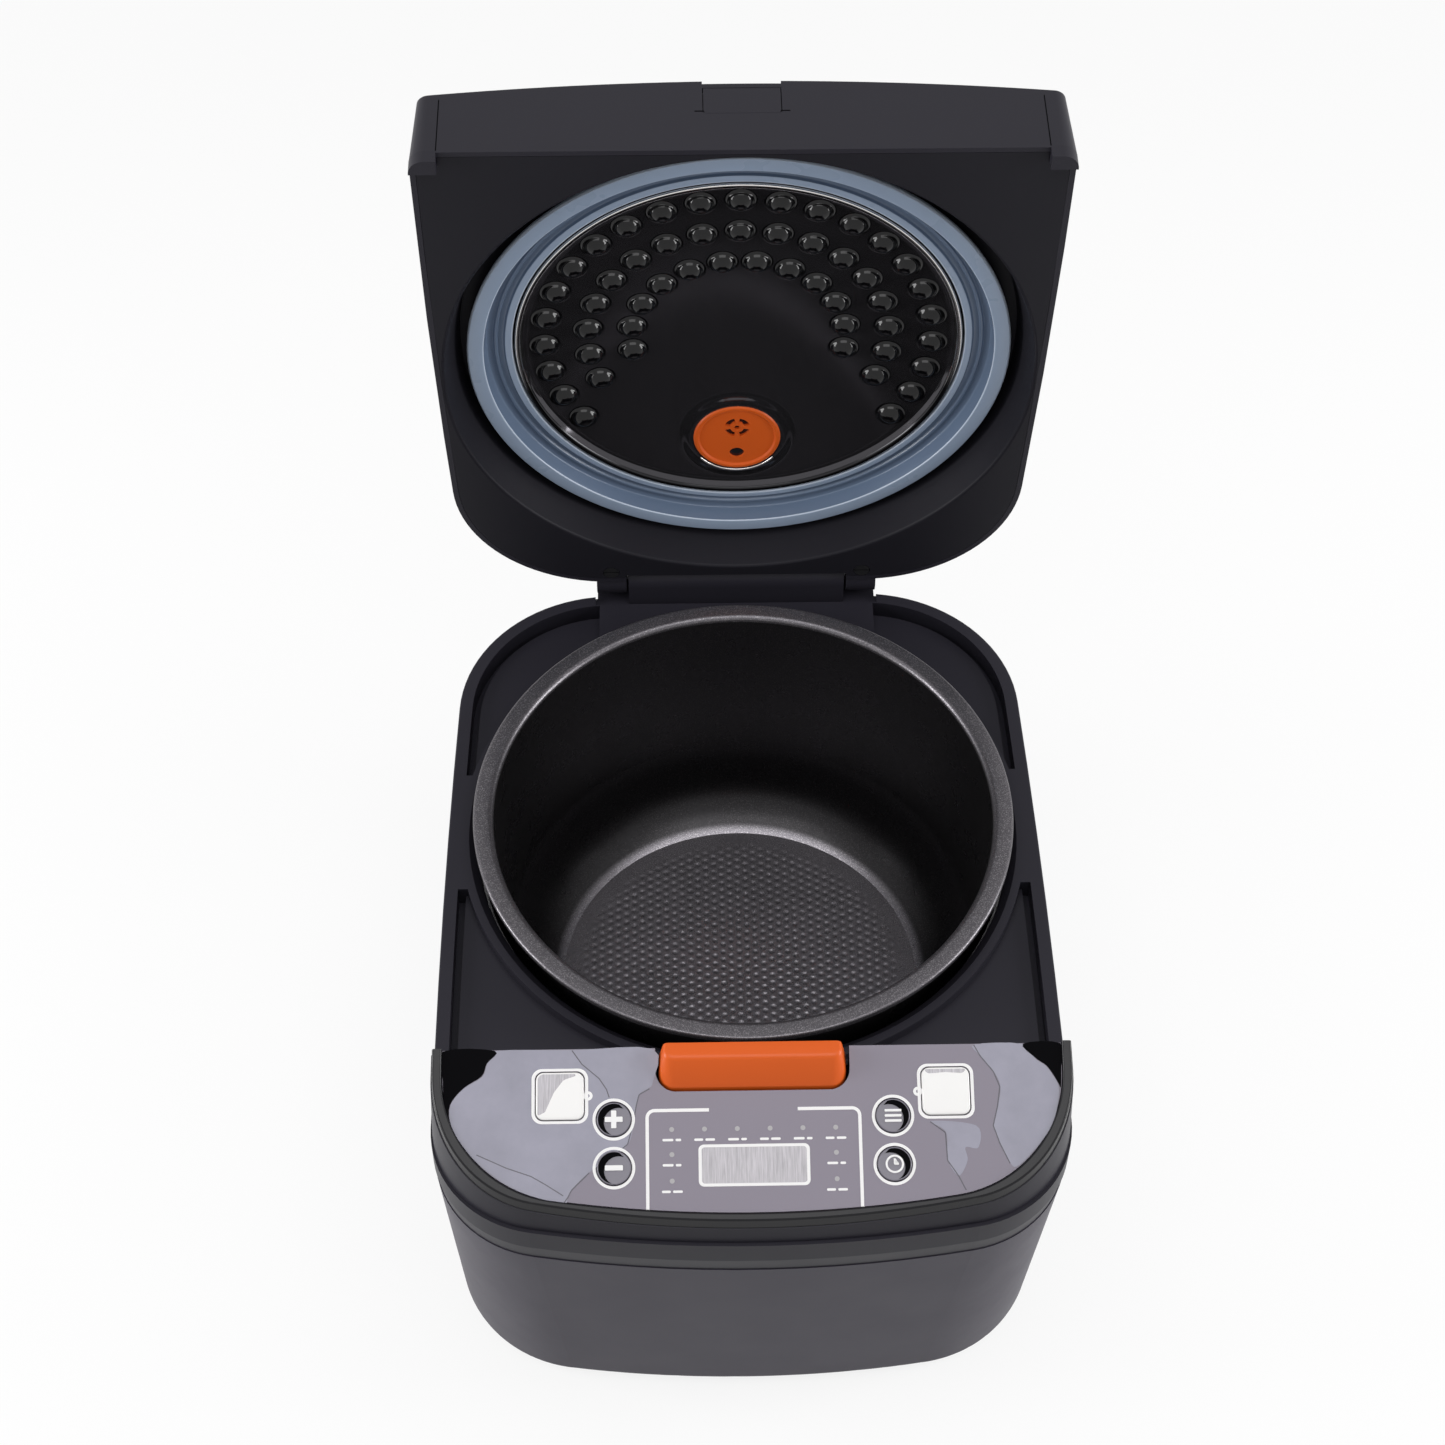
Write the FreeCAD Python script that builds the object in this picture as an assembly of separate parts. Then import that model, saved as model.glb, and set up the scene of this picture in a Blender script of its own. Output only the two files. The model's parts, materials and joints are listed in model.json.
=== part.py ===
"""Square electric multicooker with a lift-out pot, a hinged lid and a sloping control panel.

Millimetres, +Z up, the front of the cooker towards -Y. The pieces are drawn about the pot's axis
with the lid closed; the lid is then swung open, and everything is moved so that the origin lies
under the middle of the whole cooker, on the surface that it stands on.
"""

import FreeCAD, Part
import math
import os

V = FreeCAD.Vector
X_AXIS = V(1, 0, 0)
Y_AXIS = V(0, 1, 0)
Z_AXIS = V(0, 0, 1)
FAR = 900.0

# Heights, stacked up from the table
FOOT_H = 2.5
BASE_T = 2.5
LINER_Z = 22.0
LINER_T = 1.0
PLATE_LEG_H = 10.3
PLATE_T = 14.0
POT_SEAT_GAP = 0.2
POT_FLOOR_T = 2.5
POT_DEPTH = 134.0
POT_STAND = 14.5
RIM_H = 12.5
RING_H = 10.5

# Body plan, outwards from the pot
WALL = 2.5
DECK_SIDE_W = 13.2
DECK_REAR_W = 18.5
LID_FRONT_W = 17.0
CONSOLE_GAP = 1.0
CONSOLE_DEPTH = 71.0
SEAM_CORNER_R = 50.0
FOOT_SIDE_TAPER = 2.2
FOOT_FRONT_TAPER = 20.5
FOOT_CORNER_R = 60.0
REAR_CORNER_R = 70.0
CROWN_R = 560.0
SIDE_BOW_R = 4750.0
SIDE_BOW_START = 19.0
BOTTOM_ROUND_R = 6.0
BOTTOM_LEDGE_W = 16.0
BASE_INSET = 8.0

# Deck round the pot
POCKET_DEPTH = 5.5
POCKET_END_Y = 31.5
DECK_T = 2.5
RIM_W = 6.0
RIM_ROUND = 0.8
GROOVE_W = 3.3
GROOVE_DEPTH = 5.0
COLLAR_LAP = 1.0
COLLAR_W = 6.0
COLLAR_CHAMFER = 3.5
COLLAR_T = 2.5
COLLAR_SKIRT = 19.0

# Console
CONSOLE_RISE = 37.7
CONSOLE_TILT = 20.0
CONSOLE_LOFT_H = 58.0
CONSOLE_SIDE_DRAFT = 2.6
CONSOLE_FRONT_DRAFT = 7.2
PANEL_SIDE_W = 6.7
PANEL_FRONT_W = 3.0
PANEL_CORNER_R = 52.0
LIP_H = 1.2
BEZEL_SEAT = 3.5
BEZEL_INSET = 0.4
OVERLAY_T = 0.8
TRAY_T = 2.5
TRAY_RIB_W = 6.0
FIT = 0.3

# Keys, places measured across the panel and down it from its rear edge
ROUND_KEY_R = 6.9
ROUND_KEY_X = 56.6
ROUND_KEY_V = (29.4, 49.1)
SQUARE_KEY_W = 19.4
SQUARE_KEY_R = 3.2
SQUARE_KEY_X = 78.4
SQUARE_KEY_V = 19.6
KEY_GAP = 0.4
KEY_PROUD = 0.5
KEY_ROUND = 0.4
KEY_FLANGE_W = 1.8
KEY_FLANGE_T = 1.0
KEY_STEM_R = 2.2
KEY_STEM_L = 4.4
KEY_TRAVEL = 0.8
SWITCH_GAP = 0.1
SWITCH_W = 6.0
SWITCH_H = 1.5
SWITCH_PLUNGER_H = 1.0

# Display, lamps and control board
WINDOW_HALF_W = 21.2
WINDOW_V = 41.2
WINDOW_L = 14.8
WINDOW_LEDGE = 1.6
LED_R = 1.4
LED_HOLE_R = 1.1
LED_ROW_V = 33.8
LED_ROW_X = 33.2
LED_ROW_COUNT = 6
LED_SIDE_V = (44.0, 54.7)
BOARD_T = 1.6
BOARD_HALF_W = 95.0
BOARD_REAR_V = 20.0
BOARD_FRONT_W = 8.0
BOARD_POST_X = 89.0
BOARD_POST_V = 36.0
BOARD_POST_PITCH = 15.0
BOARD_POST_R = 3.5
LCD_H = 5.4

# Latch
LATCH_HALF_W = 38.3
LATCH_DEPTH = 15.6
LATCH_TOP_W = 7.9
LATCH_RISE = 5.0
LATCH_REAR_GAP = 0.3
LATCH_SINK = 10.2
LATCH_CORNER_R = 7.0
LATCH_ROUND = 0.8
LATCH_GAP = 1.3
LATCH_SHELL = 2.3
LATCH_PIVOT_IN = 7.0
LATCH_PIVOT_DROP = 20.2
LATCH_PIN_R = 1.5
LATCH_ARM_X = (28.0, 32.0)
LATCH_EAR_X = (33.0, 37.0)
LATCH_ARM_R = 4.0
LATCH_RUN = 0.06
NOSE_HALF_W = 11.0
NOSE_L = 1.9
NOSE_H = 3.3
NOSE_DROP = 0.4
NOSE_CLEAR = 0.7
NOSE_ROOM = 2.2
SHELF_HALF_W = 8.0
SHELF_DROP = 3.0
SHELF_T = 2.5
LATCH_SPRING_R = 1.6
LATCH_WIRE_R = 0.4
LATCH_SPRING_TURNS = 7

# Pot
POT_IN_R = 111.0
POT_T = 2.0
POT_FILLET = 25.0
POT_FLANGE_W = 7.0
POT_FLANGE_T = 2.6
POT_LIP_R = 2.2

# Heater and inner shell
PLATE_EDGE = 21.0
PLATE_LEG_R = 5.0
PLATE_LEG_EDGE = 12.0
TUBE_EDGE = 30.0
TUBE_R = 4.2
TUBE_GAP = 0.2
TUBE_SPAN = 320.0
TUBE_PIN_R = 2.0
TUBE_PIN_L = 5.0
LINER_AIR = 4.2
LINER_RISE = 3.0
LINER_POST_R = 6.0
LINER_POST_EDGE = 17.2
BAND_DROP = 48.0
BAND_H = 20.0
BAND_T = 1.5
BAND_GAP = 0.2

# Sensor under the pot
SENSOR_R = 21.0
SENSOR_RUN = 2.0
SENSOR_GAP = 0.3
SENSOR_T = 1.4
SENSOR_SKIRT = 11.0
SENSOR_BASE_R = 34.0
SENSOR_BASE_LAP = 4.0
SENSOR_BASE_T = 2.0
SENSOR_POST_R = 7.0
SENSOR_POST_L = 13.0
SENSOR_SPRING_R = 11.0
SENSOR_WIRE_R = 0.7
SENSOR_TURNS = 6
FUSE_R = 3.0
FUSE_L = 26.0
FUSE_Y = -40.0

# Power board in the front of the base
POWER_BOARD_HALF_W = 55.0
POWER_BOARD_EDGE = 17.5
POWER_BOARD_L = 46.0
POWER_BOARD_Z = 30.0
POWER_POST_R = 4.0
POWER_POST_EDGE = 6.0

# Mains inlet in the rear wall
INLET_X = 38.0
INLET_Z = 40.0
INLET_HALF = (13.5, 9.5)
INLET_WALL = 1.7
INLET_FLANGE_W = 4.5
INLET_FLANGE_T = 1.8
INLET_DEPTH = 20.0
INLET_FLOOR_T = 6.0
INLET_GAP = 0.3
PIN_SIZE = (2.0, 10.0, 4.0)
PIN_PITCH = 7.0
PIN_RISE = 3.5

# Feet, base vents and screws
REST_R = 9.0
REST_SIDE_W = 39.0
REST_FRONT_W = 48.5
REST_REAR_W = 46.5
VENT_W = 3.0
VENT_L = 34.0
VENT_PITCH = 8.0
VENT_COUNT = 9
SCREW_R = 2.0
SCREW_HEAD_R = 3.6
SCREW_HEAD_T = 1.6
SCREW_L = 8.0
SCREW_EDGE = 14.5
SIDE_SCREW_Y = (-90.0, 40.0)
FRONT_SCREW_X = 40.0

# Hinge
HINGE_BACK = 5.3
HINGE_RISE = 9.9
HINGE_R = 9.0
HINGE_PIN_R = 3.0
HINGE_RUN = 0.08
TOWER_HALF_W = 51.0
TOWER_OPEN_X = 37.0
TOWER_DROP = 2.0
TOWER_DEPTH = 9.6
TOWER_WALL = 2.5
TOWER_COVER_RISE = 1.6
ARM_GAP = 1.0
ARM_W = 14.0
HINGE_NOTCH = 1.0
LID_OPEN = 87.0
HINGE_WEB_Y = 15.0
CHAMBER_R = 7.2
COIL_R = 5.4
COIL_WIRE_R = 0.9
COIL_TURNS = 9
COIL_L = 30.0

# Lid
LID_GAP = 0.6
LID_CORNER_R = 7.0
LID_INSET = 0.2
LID_DRAFT = 3.2
LID_LOFT_H = 60.0
LID_H = 53.9
LID_DOME_R = 1100.0
LID_WALL = 2.4
LID_ROUND = 1.0
COVER_T = 3.0
COVER_SEAT = 0.1
COVER_INSET = 4.5
COVER_ROUND = 0.8
LUG_W = 11.4
LUG_L = 7.4
LUG_H = 5.2
LUG_GAP = 0.6
LUG_ROOT = 1.0
CATCH_HALF_W = 15.6
CATCH_H = 14.4
CATCH_GAP = 0.4
CATCH_LAP = 5.0
CATCH_BACK_T = 2.0

# Lid lining, seal, plate and steam vent
LINING_T = 2.2
LINING_GAP = 0.2
RECESS_W = 7.6
RECESS_TOP_W = 1.5
RECESS_SHIFT = 4.5
RECESS_ROUND = 1.5
SEAL_H = 10.6
SEAL_INSET = 1.5
SEAL_W = 19.9
SEAL_LIP_GAP = 0.4
DISH_GAP = 0.4
DISH_STAND = 7.8
DISH_T = 0.9
DISH_RIM_W = 4.2
DISH_WALL_H = 2.8
DISH_RISE = 3.6
DISH_CLEAR = 1.0
BUMP_R = 5.9
BUMP_H = 4.2
BUMP_RINGS = ((9.0, 23, 11.4), (28.0, 17, 14.0), (47.0, 12, 18.0))
VENT_EDGE = 30.0
VALVE_R = 20.0
VALVE_T = 6.0
VALVE_ROUND = 2.0
VALVE_HOLE_R = 3.0
DUCT_R = 13.0
DUCT_T = 1.5
CAP_R = 22.2
CAP_GAP = 0.4
CAP_RISE = 3.0
CAP_PLUG_R = 11.0
CAP_PLUG_L = 9.0
CAP_SLOT_COUNT = 5
LID_SCREW_BACK = 12.2
LID_SCREW_L = 5.0

# Worked-out heights
HOUSING_Z = FOOT_H + BASE_T
LINER_FLOOR_Z = LINER_Z + LINER_T
PLATE_Z = LINER_FLOOR_Z + PLATE_LEG_H
PLATE_TOP_Z = PLATE_Z + PLATE_T
POT_BASE_Z = PLATE_TOP_Z + POT_SEAT_GAP
POT_FLOOR_Z = POT_BASE_Z + POT_FLOOR_T
POT_RIM_Z = POT_FLOOR_Z + POT_DEPTH
RIM_Z = POT_RIM_Z - POT_STAND
SEAM_Z = RIM_Z - RIM_H
RING_Z = SEAM_Z - RING_H
POCKET_Z = RIM_Z - POCKET_DEPTH
LINER_TOP_Z = SEAM_Z + LINER_RISE
BAND_TOP_Z = LINER_TOP_Z - BAND_DROP
CONSOLE_REAR_Z = RIM_Z + CONSOLE_RISE
LATCH_TOP_Z = CONSOLE_REAR_Z + LATCH_RISE
LATCH_FOOT_Z = CONSOLE_REAR_Z - LATCH_SINK
LATCH_PIVOT_Z = CONSOLE_REAR_Z - LATCH_PIVOT_DROP
NOSE_Z = LATCH_TOP_Z - NOSE_DROP - NOSE_H
HINGE_Z = RIM_Z + HINGE_RISE
TOWER_TOP_Z = RIM_Z - TOWER_DROP
LID_Z = RIM_Z + LID_GAP
LID_TOP_Z = LID_Z + LID_H
DOME_Z = LID_TOP_Z - LID_DOME_R
CATCH_TOP_Z = NOSE_Z - NOSE_CLEAR
SLOT_TOP_Z = NOSE_Z + NOSE_H + NOSE_ROOM
SEAL_SEAT_Z = POT_RIM_Z + SEAL_H
DISH_RIM_Z = POT_RIM_Z + DISH_STAND
LINING_TOP_Z = SEAL_SEAT_Z + DISH_RISE + DISH_CLEAR

# Worked-out radii and places across
POT_FLANGE_R = POT_IN_R + POT_T + POT_FLANGE_W
COLLAR_IN_R = POT_FLANGE_R - COLLAR_LAP
COLLAR_OUT_R = POT_FLANGE_R + COLLAR_W
PLATE_R = POT_IN_R - PLATE_EDGE
PLATE_LEG_PCR = PLATE_R - PLATE_LEG_EDGE
PLATE_HOLE_R = SENSOR_R + SENSOR_RUN
TUBE_PCR = PLATE_R - TUBE_EDGE
LINER_R = POT_IN_R + POT_T + LINER_AIR
LINER_POST_PCR = LINER_R - LINER_POST_EDGE
LINER_HOLE_R = SENSOR_BASE_R - SENSOR_BASE_LAP
RECESS_R = POT_FLANGE_R + RECESS_W
RECESS_TOP_R = POT_FLANGE_R + RECESS_TOP_W
SEAL_OUT_R = POT_FLANGE_R - SEAL_INSET
SEAL_IN_R = SEAL_OUT_R - SEAL_W
DISH_R = SEAL_IN_R - DISH_GAP
DISH_WALL_R = DISH_R - DISH_RIM_W
SEAM_HALF_W = POT_FLANGE_R + DECK_SIDE_W
FOOT_HALF_W = SEAM_HALF_W - FOOT_SIDE_TAPER
PANEL_HALF_W = SEAM_HALF_W - PANEL_SIDE_W
LUG_X = SEAM_HALF_W - LUG_W
ARM_IN_X = TOWER_HALF_W + ARM_GAP
ARM_OUT_X = ARM_IN_X + ARM_W
LID_SCREW_X = (ARM_IN_X + ARM_OUT_X) / 2

# Worked-out places from front to rear
REAR_Y = POT_FLANGE_R + DECK_REAR_W
LID_FRONT_Y = -POT_FLANGE_R - LID_FRONT_W
SIDE_BOW_Y = LID_FRONT_Y + SIDE_BOW_START
CONSOLE_REAR_Y = LID_FRONT_Y - CONSOLE_GAP
SEAM_FRONT_Y = CONSOLE_REAR_Y - CONSOLE_DEPTH
FOOT_FRONT_Y = SEAM_FRONT_Y + FOOT_FRONT_TAPER
LATCH_REAR_Y = CONSOLE_REAR_Y - LATCH_REAR_GAP
LATCH_FRONT_Y = LATCH_REAR_Y - LATCH_DEPTH
LATCH_PIVOT_Y = CONSOLE_REAR_Y - LATCH_PIVOT_IN
POWER_FRONT_Y = FOOT_FRONT_Y + POWER_BOARD_EDGE
POWER_REAR_Y = POWER_FRONT_Y + POWER_BOARD_L
HINGE_Y = REAR_Y + HINGE_BACK
TOWER_REAR_Y = HINGE_Y + TOWER_DEPTH + TOWER_WALL
LID_SCREW_Y = HINGE_Y - LID_SCREW_BACK
VENT_Y = DISH_WALL_R - VENT_EDGE

# Worked-out depths under the panel
PANEL_LEN = CONSOLE_DEPTH - PANEL_FRONT_W
WINDOW_END_V = WINDOW_V + WINDOW_L
BOARD_END_V = PANEL_LEN - BOARD_FRONT_W
KEY_SEAT = -OVERLAY_T - TRAY_T - FIT
KEY_FOOT = KEY_SEAT - KEY_FLANGE_T - KEY_STEM_L
PLUNGER_TOP = KEY_FOOT - KEY_TRAVEL - SWITCH_GAP
BOARD_TOP = PLUNGER_TOP - SWITCH_PLUNGER_H - SWITCH_H

# The steam vent's tilt on the dome, and how far back the open lid reaches
VENT_TILT = math.degrees(math.asin(VENT_Y / LID_DOME_R))
VENT_TOP_Z = DOME_Z + math.sqrt(LID_DOME_R**2 - VENT_Y**2)
CAP_TOP_Z = VENT_TOP_Z + CAP_RISE
OPEN = math.radians(LID_OPEN)
LID_BACK_Y = HINGE_Y + (VENT_Y - HINGE_Y) * math.cos(OPEN) + (CAP_TOP_Z - HINGE_Z) * math.sin(OPEN)
SHIFT_Y = -(SEAM_FRONT_Y + LID_BACK_Y) / 2

BODY_PLACE = FreeCAD.Placement(V(0, SHIFT_Y, 0), FreeCAD.Rotation())
LID_SWING = FreeCAD.Placement(V(0, 0, 0), FreeCAD.Rotation(X_AXIS, -LID_OPEN), V(0, HINGE_Y, HINGE_Z))
CONSOLE = FreeCAD.Placement(
    V(0, CONSOLE_REAR_Y, CONSOLE_REAR_Z), FreeCAD.Rotation(X_AXIS, CONSOLE_TILT)
)
VENT = FreeCAD.Placement(V(0, VENT_Y, VENT_TOP_Z), FreeCAD.Rotation(X_AXIS, -VENT_TILT))


# Plain shapes
def mid_point(edge):
    return edge.valueAt((edge.FirstParameter + edge.LastParameter) / 2)


def box(x0, x1, y0, y1, z0, z1):
    return Part.makeBox(x1 - x0, y1 - y0, z1 - z0, V(x0, y0, z0))


def post(radius, z0, z1, x=0.0, y=0.0):
    return Part.makeCylinder(radius, z1 - z0, V(x, y, z0))


def bar(radius, x0, x1, y, z):
    return Part.makeCylinder(radius, x1 - x0, V(x0, y, z), X_AXIS)


def turned(points):
    """A solid of revolution about Z from (radius, height) corners."""
    wire = Part.makePolygon([V(r, 0, z) for r, z in points + points[:1]])
    return Part.Face(wire).revolve(V(0, 0, 0), Z_AXIS, 360)


def prism(wire, height, direction=Z_AXIS):
    return Part.Face(wire).extrude(direction * height)


def loft(low, high):
    return Part.makeLoft([low, high], True, True)


def fused(shapes):
    whole = shapes[0].multiFuse(list(shapes[1:]))
    return whole.removeSplitter()


def cut(shape, tools):
    return shape.cut(tools)


def placed(shape, placement):
    copy = shape.copy()
    copy.Placement = placement.multiply(copy.Placement)
    return copy


def both_sides(shape):
    return [shape, shape.mirror(V(0, 0, 0), X_AXIS)]


def arc(centre, radius, start, end, z):
    """An arc about a centre between two angles in degrees."""
    angles = [math.radians(a) for a in (start, (start + end) / 2, end)]
    ends = [V(centre[0] + radius * math.cos(a), centre[1] + radius * math.sin(a), z) for a in angles]
    return Part.Arc(*ends).toShape()


def line(a, b, z):
    return Part.makeLine(V(a[0], a[1], z), V(b[0], b[1], z))


def rounded(half_x, half_y, radius, z, centre=(0.0, 0.0)):
    """A rounded rectangle."""
    x, y = half_x - radius, half_y - radius
    edges = []
    for sx, sy, start in ((1, -1, -90), (1, 1, 0), (-1, 1, 90), (-1, -1, 180)):
        edges.append(arc((centre[0] + sx * x, centre[1] + sy * y), radius, start, start + 90, z))
    joined = []
    for k, edge in enumerate(edges):
        joined.append(edge)
        joined.append(Part.makeLine(edge.lastVertex().Point, edges[(k + 1) % 4].firstVertex().Point))
    return Part.Wire(joined)


def coil(radius, wire_r, turns, length):
    """A helical spring that stands on z = 0."""
    pitch = (length - 2 * wire_r) / turns
    helix = Part.Wire(Part.makeHelix(pitch, length - 2 * wire_r, radius))
    ring = Part.Wire(Part.makeCircle(wire_r, V(radius, 0, 0), Y_AXIS))
    spring = helix.makePipeShell([ring], True, True)
    spring.translate(V(0, 0, wire_r))
    return spring


# The plan outlines
def rear_half(half_w, rear_y, inset, z):
    """Right side from the start of the bow, round the rear corner, to the middle of the left side."""
    bow = SIDE_BOW_R - inset
    corner = REAR_CORNER_R - inset
    bow_x = half_w - SIDE_BOW_R
    centre_y = rear_y - REAR_CORNER_R
    centre_x = bow_x + math.sqrt((SIDE_BOW_R - REAR_CORNER_R) ** 2 - (centre_y - SIDE_BOW_Y) ** 2)
    turn = math.degrees(math.atan2(centre_y - SIDE_BOW_Y, centre_x - bow_x))
    right = [
        arc((bow_x, SIDE_BOW_Y), bow, 0, turn, z),
        arc((centre_x, centre_y), corner, turn, 90, z),
    ]
    left = [
        arc((-centre_x, centre_y), corner, 90, 180 - turn, z),
        arc((-bow_x, SIDE_BOW_Y), bow, 180 - turn, 180, z),
    ]
    rear = line((centre_x, rear_y - inset), (-centre_x, rear_y - inset), z)
    return right + [rear] + left


def plan(half_w, front_y, corner_r, z, inset=0.0):
    """The body's outline: a crowned front, round corners and gently bowed sides."""
    centre_x = half_w - corner_r
    crown_y = front_y + CROWN_R
    centre_y = crown_y - math.sqrt((CROWN_R - corner_r) ** 2 - centre_x**2)
    turn = math.degrees(math.atan2(centre_x, crown_y - centre_y))
    edge_x = half_w - inset
    front = arc((0, crown_y), CROWN_R - inset, -90 - turn, -90 + turn, z)
    right = [
        arc((centre_x, centre_y), corner_r - inset, -90 + turn, 0, z),
        line((edge_x, centre_y), (edge_x, SIDE_BOW_Y), z),
    ]
    left = [
        line((-edge_x, SIDE_BOW_Y), (-edge_x, centre_y), z),
        arc((-centre_x, centre_y), corner_r - inset, 180, 270 - turn, z),
    ]
    return Part.Wire([front] + right + rear_half(half_w, REAR_Y, inset, z) + left)


def body_plan(z, inset=0.0):
    """The tapering body's outline at a height between the base and the seam."""
    share = (z - HOUSING_Z) / (SEAM_Z - HOUSING_Z)

    def between(low, high):
        return low + (high - low) * share

    return plan(
        between(FOOT_HALF_W, SEAM_HALF_W),
        between(FOOT_FRONT_Y, SEAM_FRONT_Y),
        between(FOOT_CORNER_R, SEAM_CORNER_R),
        z,
        inset,
    )


def console_plan(rise, inset=0.0):
    """The outline above the seam, drawn in a little as it rises."""
    share = rise / CONSOLE_LOFT_H
    half_w = SEAM_HALF_W - CONSOLE_SIDE_DRAFT * share
    return plan(half_w, SEAM_FRONT_Y + CONSOLE_FRONT_DRAFT * share, SEAM_CORNER_R, SEAM_Z + rise, inset)


def lid_plan(z, inset):
    """The lid's outline: a straight front and the body's sides and rear."""
    corner = max(LID_CORNER_R - inset, 1.0)
    edge_x = SEAM_HALF_W - inset
    front_y = LID_FRONT_Y + inset
    centre = (edge_x - corner, front_y + corner)
    front = line((-centre[0], front_y), (centre[0], front_y), z)
    right = [arc(centre, corner, -90, 0, z), line((edge_x, centre[1]), (edge_x, SIDE_BOW_Y), z)]
    left = [
        line((-edge_x, SIDE_BOW_Y), (-edge_x, centre[1]), z),
        arc((-centre[0], centre[1]), corner, 180, 270, z),
    ]
    return Part.Wire([front] + right + rear_half(SEAM_HALF_W, REAR_Y, inset, z) + left)


def panel_plan(inset, w, rear=0.0):
    """The control panel's outline in its own plane, with its rear edge at y = rear."""
    half_w = PANEL_HALF_W
    crown_y = -PANEL_LEN + CROWN_R
    centre_x = half_w - PANEL_CORNER_R
    centre_y = crown_y - math.sqrt((CROWN_R - PANEL_CORNER_R) ** 2 - centre_x**2)
    turn = math.degrees(math.atan2(centre_x, crown_y - centre_y))
    edge_x = half_w - inset
    corner = PANEL_CORNER_R - inset
    return Part.Wire(
        [
            arc((0, crown_y), CROWN_R - inset, -90 - turn, -90 + turn, w),
            arc((centre_x, centre_y), corner, -90 + turn, 0, w),
            line((edge_x, centre_y), (edge_x, rear), w),
            line((edge_x, rear), (-edge_x, rear), w),
            line((-edge_x, rear), (-edge_x, centre_y), w),
            arc((-centre_x, centre_y), corner, 180, 270 - turn, w),
        ]
    )


def above_panel(w):
    """Everything higher than a height w over the panel's plane."""
    return placed(box(-FAR, FAR, -FAR, FAR, w, FAR), CONSOLE)


def on_panel(x, v):
    """A point of the panel: across it, and down it from the rear edge."""
    return (x, -v)


# Where the keys and lamps sit
KEYS = {
    "cancel_button": ("square", -SQUARE_KEY_X, SQUARE_KEY_V),
    "start_button": ("square", SQUARE_KEY_X, SQUARE_KEY_V),
    "plus_button": ("round", -ROUND_KEY_X, ROUND_KEY_V[0]),
    "minus_button": ("round", -ROUND_KEY_X, ROUND_KEY_V[1]),
    "menu_button": ("round", ROUND_KEY_X, ROUND_KEY_V[0]),
    "timer_button": ("round", ROUND_KEY_X, ROUND_KEY_V[1]),
}
LED_STEP = 2 * LED_ROW_X / (LED_ROW_COUNT - 1)
LEDS = [(-LED_ROW_X + k * LED_STEP, LED_ROW_V) for k in range(LED_ROW_COUNT)]
LEDS += [(side * LED_ROW_X, v) for side in (-1, 1) for v in LED_SIDE_V]


def key_prism(kind, x, v, grow, w0, w1):
    """A key's outline, grown by a margin, between two heights over the panel."""
    centre = on_panel(x, v)
    if kind == "round":
        return post(ROUND_KEY_R + grow, w0, w1, *centre)
    half = SQUARE_KEY_W / 2 + grow
    return prism(rounded(half, half, SQUARE_KEY_R + grow, w0, centre), w1 - w0)


def latch_plan(grow, z, rear_grow=0.0):
    """The latch button's outline seen from above, square behind and round at its front corners."""
    x = LATCH_HALF_W + grow
    front = LATCH_FRONT_Y - grow
    rear = LATCH_REAR_Y + rear_grow
    corner = LATCH_CORNER_R + grow
    cx, cy = x - corner, front + corner
    return Part.Wire(
        [
            line((-cx, front), (cx, front), z),
            arc((cx, cy), corner, -90, 0, z),
            line((x, cy), (x, rear), z),
            line((x, rear), (-x, rear), z),
            line((-x, rear), (-x, cy), z),
            arc((-cx, cy), corner, 180, 270, z),
        ]
    )


# Base and outer shell
def outer_housing():
    shell = loft(body_plan(HOUSING_Z), body_plan(RING_Z))
    bottom = [e for e in shell.Edges if e.BoundBox.ZMax < HOUSING_Z + 0.01]
    shell = shell.makeFillet(BOTTOM_ROUND_R, bottom)
    inside = loft(body_plan(HOUSING_Z + WALL, WALL), body_plan(RING_Z + WALL, WALL))
    mouth = prism(body_plan(HOUSING_Z - 1, BOTTOM_LEDGE_W), WALL + 2)
    half_x, half_z = (h + INLET_GAP for h in INLET_HALF)
    socket = box(
        INLET_X - half_x, INLET_X + half_x, REAR_Y - 2 * WALL, REAR_Y + 1, INLET_Z - half_z, INLET_Z + half_z
    )
    return cut(shell, [inside, mouth, socket])


def seam_ring():
    return loft(body_plan(RING_Z, BEZEL_INSET), body_plan(SEAM_Z, BEZEL_INSET)).cut(
        loft(body_plan(RING_Z, WALL), body_plan(SEAM_Z, WALL))
    )


def rest_places():
    x = FOOT_HALF_W - REST_SIDE_W
    ends = (FOOT_FRONT_Y + REST_FRONT_W, REAR_Y - REST_REAR_W)
    return [(side * x, y) for side in (-1, 1) for y in ends]


def base_screw_places():
    spots = [(FOOT_HALF_W - SCREW_EDGE, y) for y in SIDE_SCREW_Y]
    spots.append((FRONT_SCREW_X, FOOT_FRONT_Y + SCREW_EDGE))
    return [(side * x, y) for side in (-1, 1) for x, y in spots]


def liner_post_places():
    turns = [math.radians(45 + 90 * k) for k in range(4)]
    return [(LINER_POST_PCR * math.cos(a), LINER_POST_PCR * math.sin(a)) for a in turns]


def power_post_places():
    x = POWER_BOARD_HALF_W - POWER_POST_EDGE
    ends = (POWER_FRONT_Y + POWER_POST_EDGE, POWER_REAR_Y - POWER_POST_EDGE)
    return [(side * x, y) for side in (-1, 1) for y in ends]


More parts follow.
